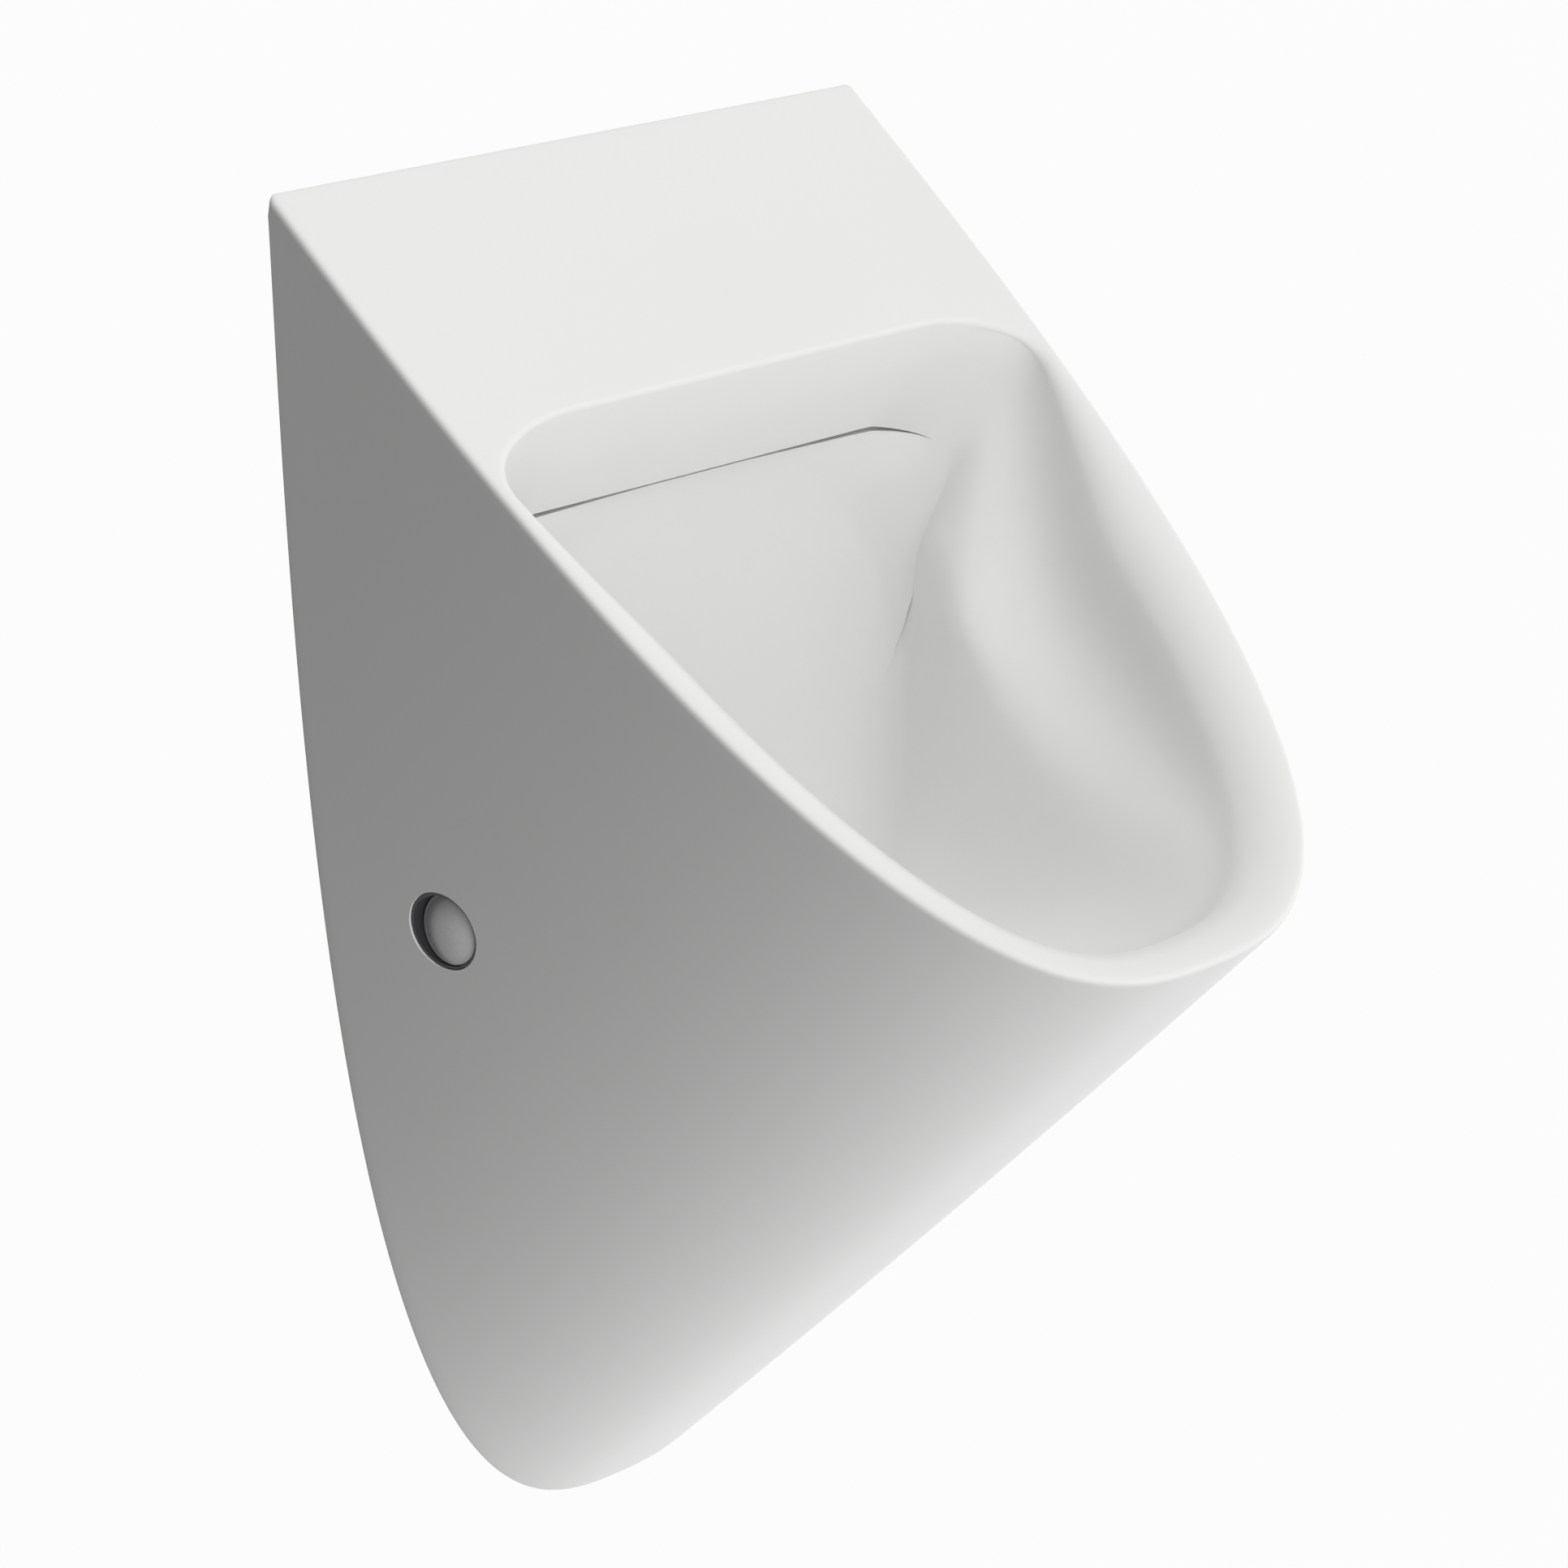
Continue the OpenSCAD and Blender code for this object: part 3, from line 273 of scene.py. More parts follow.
def skin_grid(plane):
    """Half rings of the outer skin, from the rim plane's side of the outer edge to the wall.

    The skin is ruled between the rim outline and the wall outline and swells half way. The top edge,
    the corners and the wall edge are rounded by quadratic curves between their two faces."""
    s = sizes()
    tau, _, sigma = ring_shares(plane)
    r = s.corner_round
    corner_start = plane.half - r
    a_c = plane.angle_at(r)
    a0 = plane.angle_at(154 * MM)
    # Top stretch along the top edge up to 128 mm, then the corner stretch to where the side begins
    top_end = 128 * MM
    top = np.stack([top_end * tau, 0 * tau], -1)
    angles = np.linspace(a_c, a0, 400)
    bend = np.linspace(0, math.pi / 2, 40)
    path = np.concatenate([
        np.stack([np.linspace(top_end, corner_start, 20, endpoint=False), np.zeros(20)], -1),
        np.stack([corner_start + r * np.sin(bend), r * (1 - np.cos(bend))], -1)[:-1],
        plane.edge(angles),
    ])
    path_angle = np.concatenate([np.zeros(20), a_c * (np.arange(39) / 39), angles])
    length = np.r_[0, np.cumsum(np.linalg.norm(np.diff(path, axis=0), axis=1))]
    # More points round the small corner: length counts fourfold there
    weight = np.where((np.arange(len(path)) > 18) & (np.arange(len(path)) < 62), 4.0, 1.0)
    stretched = np.r_[0, np.cumsum(np.linalg.norm(np.diff(path, axis=0), axis=1) * weight[1:])]
    at = np.interp(np.linspace(0, stretched[-1], CORNER_COUNT, endpoint=False), stretched, length)
    corner = np.stack([np.interp(at, length, path[:, 0]), np.interp(at, length, path[:, 1])], -1)
    corner_angle = np.interp(at, length, path_angle)
    side_angle = a0 + (math.pi / 2 - a0) * sigma
    side = plane.edge(side_angle)
    flat = np.concatenate([top, corner, side])
    angle = np.concatenate([0 * tau, corner_angle, side_angle])
    edge = plane.point(flat[:, 0], flat[:, 1])
    edge[-1, 0] = 0
    wall = plane.wall(angle)
    wall[:, 0] = flat[:, 0]
    # Inward direction in the rim plane, square to the outline
    closed = np.concatenate([flat[1:2] * [-1, 1], flat, flat[-2:-1] * [-1, 1]])
    run = closed[2:] - closed[:-2]
    inward = np.stack([-run[:, 1], run[:, 0]], -1)
    inward /= np.linalg.norm(inward, axis=1, keepdims=True)
    inward3 = plane.point(inward[:, 0], inward[:, 1]) - plane.point(0, 0)
    swell = (s.swell * np.sin(angle))[:, None] * plane.under

    def skin(share):
        share = np.reshape(share, (-1, 1))
        return edge + (wall - edge) * share + swell * 4 * share * (1 - share)

    span = np.linalg.norm(wall - edge, axis=1)
    first, last = s.edge_round / span, 1 - s.wall_round / span
    start = edge + s.edge_round * inward3
    rings = []
    for t in np.linspace(0, 1, 9):
        rings.append(edge * 2 * t * (1 - t) + start * (1 - t) ** 2 + skin(first) * t * t)
    for t in np.linspace(0, 1, 61)[1:-1]:
        rings.append(skin(first + (last - first) * t))
    wall_closed = np.concatenate([wall[1:2] * [-1, 1, 1], wall, wall[-2:-1] * [-1, 1, 1]])
    wall_run = wall_closed[2:] - wall_closed[:-2]
    wall_in = np.stack([wall_run[:, 2], 0 * wall_run[:, 0], -wall_run[:, 0]], -1)
    wall_in /= np.linalg.norm(wall_in, axis=1, keepdims=True)
    end = wall + s.wall_round * wall_in
    for t in np.linspace(0, 1, 7):
        rings.append(wall * 2 * t * (1 - t) + skin(last) * (1 - t) ** 2 + end * t * t)
    return np.array(rings)


def corner_swell(along):
    """Share of the corner's move that the hood's foot takes: the squared sine of the way from 0.1 to 1.6
    corner lengths, so it is full at 0.85 and nothing along the top."""
    return np.sin(math.pi * np.clip((along - 0.1) / 1.5, 0, 1)) ** 2


def bowl_grid(plane):
    """Half rings from the mouth's edge down the rolled edge and the bowl's wall to its flat back.

    The roll is a quarter ellipse. The wall is a cubic curve that leaves the roll square to the rim and
    arrives level at the back. Along the hood it is straight. Round the hood's corner the foot comes forward,
    and down the side a soft shelf, a squared sine across the wall, rises from it. Near the drain the floor
    sinks to a flat seat."""
    s = sizes()
    shares = ring_shares(plane)
    tau, phi, sigma = shares
    # Way round the mouth in lengths of its corner: 0 along the top, 1 where the side begins
    along = np.concatenate([0 * tau, phi / (math.pi / 2), 1 + 7 * sigma])
    share = smooth_step((along - s.hood_from) / (s.hood_to - s.hood_from))
    mix = share[:, None]
    land = mouth(plane, shares, STRAIGHT, s.mouth_top, 30 * MM, LAND, LAND)
    near = mouth(plane, shares, 98.5 * MM, s.mouth_top + 2.5 * MM, 31.5 * MM, 6 * MM, 6 * MM)
    far = mouth(plane, shares, 95 * MM, s.mouth_top + 2.5 * MM, 52 * MM, LAND + s.roll_side, LAND + s.roll_front)
    foot = near + (far - near) * mix
    back = upright(shares, STRAIGHT, FOOT_DOWN, 122 * MM, 30 * MM, 353 * MM, FOOT_OUT, plane.top)
    forward = corner_swell(along)
    back += forward[:, None] * np.array([s.corner_out, -s.corner_forward, s.corner_up])
    crease = upright(shares, 20 * MM, 130.6 * MM, 117 * MM, 105 * MM, 348 * MM, CENTRE_OUT, plane.top)
    depth = 2.5 * MM + (s.roll_depth - 2.5 * MM) * share
    floor = np.concatenate([0 * tau, 0 * phi, np.sin(sigma * math.pi / 2) ** 2])
    rings = []
    for a in np.linspace(0, math.pi / 2, ROLL_RINGS):
        flat = land + (foot - land) * math.sin(a)
        rings.append(plane.point(flat[:, 0], flat[:, 1], depth * (1 - math.cos(a))))
    root = rings[-1]
    third = (back - root) / 3
    middle = np.array([0, 0, plane.top - MIDDLE_DOWN])
    way = (back - middle) * [1, 0, 1]
    way /= np.linalg.norm(way, axis=1, keepdims=True)
    side = (1 - floor)[:, None]
    dive = root - plane.normal * s.wall_dive * (1 - 0.25 * floor)[:, None] + way * s.wall_bulge * side
    level = np.array([0, -1, 0]) * s.wall_reach * (1 + 0.5 * floor)[:, None]
    arrive = back + level + way * s.wall_tuck * side
    # The shelf lies deep in the wall under the hood's corner and nearer to the roll further down
    shelf_power = 1.35 - 0.75 * smooth_step((along - 1) / 4.5)
    rise = s.shelf * smooth_step((along - 0.6) / 1.5) * (1 - floor**2)
    one = root + third + (dive - root - third) * mix
    two = back - third + (arrive - back + third) * mix
    for t in np.linspace(0, 1, WALL_RINGS)[1:]:
        ridge = rise * np.sin(math.pi * t**shelf_power) ** 2
        cubic = root * (1 - t) ** 3 + one * 3 * t * (1 - t) ** 2 + two * 3 * t * t * (1 - t) + back * t**3
        rings.append(cubic - ridge[:, None] * way)
    crease_row = len(rings)
    for t in (0.25, 0.5, 0.75, 1):
        rings.append(back + (crease - back) * t)
    centre = np.array([0, -CENTRE_OUT, plane.top - CENTRE_DOWN])
    for t in np.linspace(0, 0.97, 21)[1:]:
        rings.append(crease + (centre - crease) * t)
    grid = np.array(rings)
    even_out(grid, np.arange(crease_row - 8, crease_row + 8), share, 14)
    even_out(grid, np.arange(ROLL_RINGS - 3, ROLL_RINGS + 5), share, 6)
    # The sump round the drain
    drain = np.array(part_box("waste_flange"))
    axis = (drain[0] + drain[1]) / 2
    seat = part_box("flange_gasket")[0][2]
    away = np.hypot(grid[..., 0] - axis[0], grid[..., 1] - axis[1])
    height = grid[..., 2] - seat
    pull = smooth_step((95 * MM - away) / (58 * MM)) * smooth_step(1 - height / (34 * MM))
    grid[..., 2] = np.where(height < 34 * MM, seat + height * (1 - pull), grid[..., 2])
    return grid


def slot_ribbon(plane):
    """A thin flat strip along the hood's foot, which dips and thins out at its ends.

    It reaches the chamber only in front of it and stays inside the bowl's own wall beside it.
    """
    s = sizes()
    phi = np.radians(np.linspace(0, 54, 24))
    forward = corner_swell(phi / (math.pi / 2))
    x = STRAIGHT + 22 * MM * np.sin(phi) + s.corner_out * forward
    y = -FOOT_OUT - s.corner_forward * forward
    z = plane.top - FOOT_DOWN - 30 * MM * (1 - np.cos(phi)) + s.corner_up * forward
    run = np.gradient(np.stack([x, y], -1), axis=0)
    run /= np.linalg.norm(run, axis=1, keepdims=True)
    x, y, z = np.r_[0, 86 * MM, x], np.r_[y[0], y[0], y], np.r_[z[0], z[0], z]
    run = np.concatenate([[[1, 0], [1, 0]], run])
    out = np.stack([run[:, 1], -run[:, 0]], -1)
    reach = np.r_[14, 14, np.linspace(5, 4, len(x) - 2)] * MM
    thin = np.clip((len(x) - np.arange(len(x))) / 20, 0, 1)
    low, high = z - s.slot_height * thin - 0.1 * MM, z - 0.1 * MM
    front = np.stack([x, y], -1) + out * 8 * MM
    rear = np.stack([x, y], -1) - out * reach[:, None]
    corners = (front, low), (rear, low), (rear, high), (front, high)
    half = np.stack([np.column_stack([edge, level]) for edge, level in corners], 1)
    return np.concatenate([half[:0:-1] * [-1, 1, 1], half])


def face_grid(first, last, count):
    """Half rings across the flat rim face, evenly between two given rings."""
    share = np.linspace(0, 1, count)[1:-1, None, None]
    return first[None] * (1 - share) + last[None] * share


# Meshes


def mesh_object(name, verts, quads, caps=(), triangles=None):
    """A mesh from arrays of points and faces, merged at its seams and with its faces pointing outwards."""
    faces = quads.tolist() + [list(c) for c in caps] + ([] if triangles is None else triangles.tolist())
    mesh = bpy.data.meshes.new(name)
    mesh.from_pydata(verts.reshape(-1, 3).tolist(), [], faces)
    work = bmesh.new()
    work.from_mesh(mesh)
    bmesh.ops.remove_doubles(work, verts=work.verts, dist=2e-6)
    bmesh.ops.recalc_face_normals(work, faces=work.faces)
    work.to_mesh(mesh)
    work.free()
    item = bpy.data.objects.new(name, mesh)
    bpy.context.scene.collection.objects.link(item)
    return item


def ring_quads(rings, points):
    """Quads between neighbouring closed rings of the same number of points."""
    row, col = np.meshgrid(np.arange(rings - 1), np.arange(points), indexing="ij")
    near, far = row * points + col, row * points + (col + 1) % points
    return np.stack([near, far, far + points, near + points], -1).reshape(-1, 4)


def loft(name, rings):
    """A closed solid through closed rings, with a flat face at each end."""
    rings = np.asarray(rings)
    m, n = rings.shape[:2]
    ends = [range(n), range((m - 1) * n, m * n)]
    return mesh_object(name, rings, ring_quads(m, n), ends)


def turned(name, profile, place, count=128):
    """A closed solid of revolution: (radius, height) pairs are carried round Z, then placed by a matrix."""
    profile = np.asarray(profile)
    angle = np.arange(count) * 2 * math.pi / count
    radius, height = profile[:, 0, None], np.repeat(profile[:, 1, None], count, 1)
    rings = np.stack([radius * np.cos(angle), radius * np.sin(angle), height], -1)
    m = len(profile)
    quads = ring_quads(m, count)
    if profile[0, 0] > 1e-7 and profile[-1, 0] > 1e-7:
        here, after, last = np.arange(count), (np.arange(count) + 1) % count, (m - 1) * count
        closing = np.stack([last + here, last + after, after, here], -1)
        quads = np.concatenate([quads, closing])
    item = mesh_object(name, rings, quads)
    item.data.transform(place)
    return item


def column(name, radius, low, high, place, count=128):
    """A plain round tool for cutting."""
    return turned(name, [(0, low), (radius, low), (radius, high), (0, high)], place, count)


def block(name, low, high):
    low, high = np.minimum(low, high), np.maximum(low, high)
    corner = np.array([[x, y, z] for x in (0, 1) for y in (0, 1) for z in (0, 1)])
    quads = np.array([[0, 1, 3, 2], [4, 6, 7, 5], [0, 4, 5, 1], [2, 3, 7, 6], [0, 2, 6, 4], [1, 5, 7, 3]])
    return mesh_object(name, np.asarray(low) + corner * (np.asarray(high) - low), quads)


def prism(name, outline, low, high, axis):
    """An outline carried along an axis between two heights. Its columns are the other two axes in order."""
    outline = np.asarray(outline)
    rings = []
    for level in (low, high):
        rings.append(np.insert(outline, axis, level, axis=1))
    return loft(name, rings)


def carve(target, tool, how="DIFFERENCE"):
    """Applies one solid to another and removes it."""
    change = target.modifiers.new("carve", "BOOLEAN")
    change.operation = how
    change.solver = "MANIFOLD"
    change.object = tool
    bpy.context.view_layer.update()
    graph = bpy.context.evaluated_depsgraph_get()
    made = bpy.data.meshes.new_from_object(target.evaluated_get(graph))
    target.modifiers.clear()
    old, target.data = target.data, made
    bpy.data.meshes.remove(old)
    bpy.data.objects.remove(tool)
    if not len(made.polygons):
        raise RuntimeError(f"nothing was left of {target.name}")
    return target


def soften_shading(item, angle=32):
    item.data.shade_smooth()
    item.data.set_sharp_from_angle(angle=math.radians(angle))


# Materials


def new_material(name, colour, **sockets):
    """A Principled material whose plain values sit on the shader's own sockets."""
    material = bpy.data.materials.new(name)
    material.use_nodes = True
    tree = material.node_tree
    shader = tree.nodes["Principled BSDF"]
    shader.inputs["Base Color"].default_value = (*colour, 1)
    for key, value in sockets.items():
        shader.inputs[key.replace("_", " ")].default_value = value
    return material, tree, shader


def add_node(tree, kind, **settings):
    node = tree.nodes.new(kind)
    for key, value in settings.items():
        if key in node.inputs:
            node.inputs[key].default_value = value
        else:
            setattr(node, key, value)
    return node


def object_coordinates(tree, scale=(1, 1, 1)):
    where = add_node(tree, "ShaderNodeTexCoord")
    mapping = add_node(tree, "ShaderNodeMapping")
    mapping.inputs["Scale"].default_value = scale
    tree.links.new(where.outputs["Object"], mapping.inputs["Vector"])
    return mapping.outputs["Vector"]


def noise(tree, vector, scale, detail=3, roughness=0.5):
    node = add_node(tree, "ShaderNodeTexNoise")
    node.inputs["Scale"].default_value = scale
    node.inputs["Detail"].default_value = detail
    node.inputs["Roughness"].default_value = roughness
    tree.links.new(vector, node.inputs["Vector"])
    return node.outputs["Fac"]


def remap(tree, value, low, high, to_low, to_high):
    node = add_node(tree, "ShaderNodeMapRange")
    for socket, number in zip(("From Min", "From Max", "To Min", "To Max"), (low, high, to_low, to_high)):
        node.inputs[socket].default_value = number
    tree.links.new(value, node.inputs["Value"])
    return node.outputs["Result"]


def bump(tree, shader, height, strength, distance, below=None):
    node = add_node(tree, "ShaderNodeBump")
    node.inputs["Strength"].default_value = strength
    node.inputs["Distance"].default_value = distance
    tree.links.new(height, node.inputs["Height"])
    if below is not None:
        tree.links.new(below, node.inputs["Normal"])
    tree.links.new(node.outputs["Normal"], shader.inputs["Normal"])
    return node.outputs["Normal"]


def mix_colour(tree, factor, one, two):
    node = add_node(tree, "ShaderNodeMix", data_type="RGBA")
    sockets = {s.identifier: s for s in node.inputs}
    sockets["A_Color"].default_value = (*one, 1)
    sockets["B_Color"].default_value = (*two, 1)
    tree.links.new(factor, sockets["Factor_Float"])
    return {s.identifier: s for s in node.outputs}["Result_Color"]


def glaze_material():
    """White glaze: broad, faint waves under a thin gloss, tiny pits, and bare clay on the foot at the wall."""
    look = bpy.context.scene.urinal_glaze
    material, tree, shader = new_material(
        "glazed_ceramic", look.colour, IOR=1.52, Roughness=look.gloss, Specular_IOR_Level=0.22
    )
    vector = object_coordinates(tree)
    waves = noise(tree, vector, 14, 2, 0.4)
    pits = noise(tree, vector, 420, 2, 0.5)
    broad = bump(tree, shader, waves, 0.12, 0.0016)
    bump(tree, shader, pits, 0.05, 0.00012, broad)
    # Bare clay where the flange meets the wall
    split = add_node(tree, "ShaderNodeSeparateXYZ")
    tree.links.new(vector, split.inputs["Vector"])
    foot = remap(tree, split.outputs["Y"], -0.0009, -0.0002, 0, 1)
    grain = noise(tree, vector, 900, 4, 0.6)
    ragged = add_node(tree, "ShaderNodeMath", operation="MULTIPLY")
    tree.links.new(foot, ragged.inputs[0])
    tree.links.new(remap(tree, grain, 0.3, 0.6, 0.75, 1), ragged.inputs[1])
    tone = noise(tree, vector, 5, 2, 0.5)
    duller = [part * share for part, share in zip(look.colour, (0.985, 0.988, 0.985))]
    pale = mix_colour(tree, remap(tree, tone, 0.3, 0.7, 0, 1), look.colour, duller)
    final = add_node(tree, "ShaderNodeMix", data_type="RGBA")
    ends = {s.identifier: s for s in final.inputs}
    tree.links.new(ragged.outputs[0], ends["Factor_Float"])
    tree.links.new(pale, ends["A_Color"])
    ends["B_Color"].default_value = (*look.bare, 1)
    tree.links.new({s.identifier: s for s in final.outputs}["Result_Color"], shader.inputs["Base Color"])
    tree.links.new(remap(tree, ragged.outputs[0], 0, 1, look.gloss, 0.7), shader.inputs["Roughness"])
    return material


def moulded_material(name, colour, roughness, grain=600, depth=0.00005):
    """Moulded plastic: a fine grain, a faint change of tone and a slightly uneven gloss."""
    material, tree, shader = new_material(name, colour, IOR=1.49, Roughness=roughness)
    vector = object_coordinates(tree)
    tone = noise(tree, vector, 30, 2, 0.5)
    dark = tuple(c * 0.93 for c in colour)
    clouded = mix_colour(tree, remap(tree, tone, 0.35, 0.65, 0, 1), colour, dark)
    tree.links.new(clouded, shader.inputs["Base Color"])
    fine = noise(tree, vector, grain, 3, 0.6)
    uneven = remap(tree, fine, 0.3, 0.7, roughness * 0.8, min(1, roughness * 1.3))
    tree.links.new(uneven, shader.inputs["Roughness"])
    bump(tree, shader, fine, 0.25, depth)
    return material


def plated_material(name, colour, roughness, streak=(1, 1, 1), spangle=0.0):
    """Plated steel or brass: fine drawn streaks in the gloss, with a cloudy plating where it has spangle."""
    material, tree, shader = new_material(name, colour, Metallic=1.0, Roughness=roughness)
    vector = object_coordinates(tree, streak)
    fine = noise(tree, vector, 260, 4, 0.65)
    cloud = noise(tree, object_coordinates(tree), 70, 3, 0.6)
    uneven = remap(tree, fine, 0.3, 0.7, roughness * 0.7, min(1, roughness * 1.5))
    tree.links.new(uneven, shader.inputs["Roughness"])
    dark = tuple(c * (1 - 0.12 - spangle) for c in colour)
    clouded = mix_colour(tree, remap(tree, cloud, 0.35, 0.65, 0, 1), colour, dark)
    tree.links.new(clouded, shader.inputs["Base Color"])
    bump(tree, shader, fine, 0.15, 0.00004)
    return material


def dress(node_names, material):
    """Gives carried-over nodes of the frame a finish without touching their meshes."""
    for name in node_names:
        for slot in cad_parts[name].material_slots:
            slot.link = "OBJECT"
            slot.material = material


def finish_piece(item, material, body, node):
    """Gives a new piece its finish in a single material slot, hangs it under its body and hides the frame's node
    that it stands in for.
    """
    item.data.materials.clear()
    item.data.materials.append(material)
    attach(item, body)
    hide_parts(node)


# Pieces


class URINAL_OT_ceramic_body(bpy.types.Operator):
    """Builds the glazed body as one smooth surface, hollows it from the rear and cuts its holes"""

    bl_idname = "urinal.ceramic_body"
    bl_label = "Glazed body"

    def execute(self, context):
        plane = RimPlane()
        skin, bowl = skin_grid(plane), bowl_grid(plane)
        face = face_grid(skin[0], bowl[0], 22)
        half = np.concatenate([skin[::-1], face, bowl])
        rings = mirror_ring(half)
        m, n = rings.shape[:2]
        verts = np.concatenate([rings.reshape(-1, 3), [[0, -CENTRE_OUT, plane.top - CENTRE_DOWN]]])
        fan_from = (m - 1) * n
        fan = np.stack([fan_from + np.arange(n), fan_from + (np.arange(n) + 1) % n, np.full(n, m * n)], -1)
        body = mesh_object("glazed_body", verts, ring_quads(m, n), [range(n)], fan)
        self.hollow(body, plane)
        self.holes(body, plane)
        soften_shading(body, 35)
        finish_piece(body, glaze_material(), "urinal", "ceramic_body")
        return {"FINISHED"}

    def hollow(self, body, plane):
        """The hollow is the inset wedge less the bowl's own wall, the flush chamber, the bosses and the lugs."""
        skin_t, plate_t, flange_t, bowl_t = 9 * MM, 11 * MM, 12 * MM, 8.5 * MM
        under = math.hypot(plane.depth, plane.height - plane.drop)
        plate_drop = plate_t / plane.cos
        high = plane.height - skin_t * under / plane.depth - plate_drop
        scale = high / plane.height
        angle = np.linspace(0, math.pi, 129)
        cosine = np.cos(angle)
        across = (plane.half - skin_t) * np.sign(cosine) * np.abs(cosine) ** (2 / ACROSS_POWER)
        rim_fall, wall_fall = down_share(angle, RIM_POWER), down_share(angle, WALL_POWER)
        top = plane.top - plate_drop
        rim = np.stack([across, -plane.depth * scale * rim_fall, top - plane.drop * scale * rim_fall], -1)
        wall = np.stack([across, 0 * across, top - 6 * MM - (high - 6 * MM) * wall_fall], -1)
        swell = (sizes().swell * np.sin(angle))[:, None] * plane.under
        rings = [wall + (rim - wall) * t + swell * 4 * t * (1 - t) for t in np.linspace(0, 1, 17)]
        room = loft("room", rings)
        carve(room, block("front", [-0.3, -0.5, -0.6], [0.3, -flange_t, 0.2]), "INTERSECT")
        inner = (plane.half - 18 * MM) * np.sign(cosine) * np.abs(cosine) ** (2 / ACROSS_POWER)
        low = plane.height - 18 * MM * under / plane.depth
        start = plate_drop + 9 * MM
        opening = np.stack([inner, plane.top - start - (low - start) * wall_fall], -1)
        carve(room, prism("opening", opening, -flange_t - MM, MM, 1), "UNION")
        bowl = bowl_grid(plane)
        root, wall_rings = bowl[ROLL_RINGS - 1], bowl[ROLL_RINGS + 1:ROLL_RINGS + WALL_RINGS - 1:4]
        middle = np.array([0, 0, plane.top - MIDDLE_DOWN])

        def grown(ring, amount):
            way = (ring - middle) * [1, 0, 1]
            way = way / np.linalg.norm(way, axis=1, keepdims=True)
            way[:, 1] -= 0.5 * np.clip(-way[:, 2], 0, 1)
            return ring + amount * way

        shares = ring_shares(plane)
        lip_top = sizes().mouth_top - bowl_t
        lip = mouth(plane, shares, STRAIGHT + bowl_t, lip_top, 38.5 * MM, 1.7 * MM, 1.7 * MM)
        rear = upright(
            shares, STRAIGHT + bowl_t, FOOT_DOWN - bowl_t, 130.5 * MM, 30 * MM, 363.5 * MM, 53.5 * MM, plane.top
        )
        thick = [grown(ring, bowl_t) for ring in (root, *wall_rings)]
        outer = [plane.point(lip[:, 0], lip[:, 1]), *thick, rear]
        carve(room, loft("bowl_wall", mirror_ring(np.array(outer))))
        chamber = np.array([[-20, -34], [-82, -68], [-82, -102], [-53.5, -147], [-20, -147]]) * MM
        chamber += [0, plane.top]
        carve(room, prism("chamber_wall", chamber, -98 * MM, 98 * MM, 0))
        drain = np.array(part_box("waste_flange")).mean(0)
        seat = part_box("flange_gasket")[0][2]
        place = Matrix.Translation((0, drain[1], 0))
        carve(room, column("drain_boss", 36 * MM, seat - 12 * MM, seat + 12 * MM, place))
        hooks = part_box("hanging_hook_right")
        lug_x = (hooks[0][0] + hooks[1][0]) / 2
        cap = np.array(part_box("cover_cap_right"))
        side_y, side_z = cap[:, 1].mean(), cap[:, 2].mean()
        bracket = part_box("wall_bracket_right")
        for side in (-1, 1):
            low = [side * lug_x - 23 * MM, -24 * MM, plane.top - 54 * MM]
            high = [side * lug_x + 23 * MM, -14 * MM, plane.top - 20 * MM]
            carve(room, block("lug", low, high))
            place = Matrix.Translation((0, side_y, side_z)) @ Matrix.Rotation(side * math.pi / 2, 4, "Y")
            carve(room, column("side_boss", 22 * MM, bracket[1][0] + 0.3 * MM, plane.half, place))
        carve(body, room)

    def holes(self, body, plane):
        """Flush chamber, slot, inlet, drain and the two stepped side holes with the pockets behind them."""
        chamber = np.array([[-30, -54], [-72, -83], [-72, -97], [-52.5, -127], [-52.5, -137], [-30, -137]]) * MM
        chamber += [0, plane.top]
        carve(body, prism("chamber", chamber, -88 * MM, 88 * MM, 0))
        carve(body, loft("slot", slot_ribbon(plane)))
        inlet = np.array(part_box("inlet_pipe")).mean(0)
        turn = Matrix.Translation((0, 0, inlet[2])) @ Matrix.Rotation(math.pi / 2, 4, "X")
        carve(body, column("inlet", 17.5 * MM, 19 * MM, 31 * MM, turn))
        drain = np.array(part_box("waste_flange")).mean(0)
        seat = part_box("flange_gasket")[0][2]
        place = Matrix.Translation((0, drain[1], 0))
        carve(body, column("drain", 22.5 * MM, seat - 14 * MM, seat + 3 * MM, place))
        cap = np.array(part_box("cover_cap_right"))
        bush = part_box("fixing_bush_right")
        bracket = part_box("wall_bracket_right")
        side_y, side_z = cap[:, 1].mean(), cap[:, 2].mean()
        nut_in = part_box("fixing_screw_right")[0][0] - 0.4 * MM
        boss_in = bracket[1][0] + 0.3 * MM
        for side in (-1, 1):
            place = Matrix.Translation((0, side_y, side_z)) @ Matrix.Rotation(side * math.pi / 2, 4, "Y")
            carve(body, column("side_hole", 16.3 * MM, bush[0][0], plane.half + 9 * MM, place))
            carve(body, column("screw_hole", 9 * MM, boss_in - MM, bush[0][0] + MM, place))
            low = [side * nut_in, side_y - 12 * MM, side_z - 22 * MM]
            carve(body, block("pocket", low, [side * boss_in, -12 * MM, side_z + 22 * MM]))


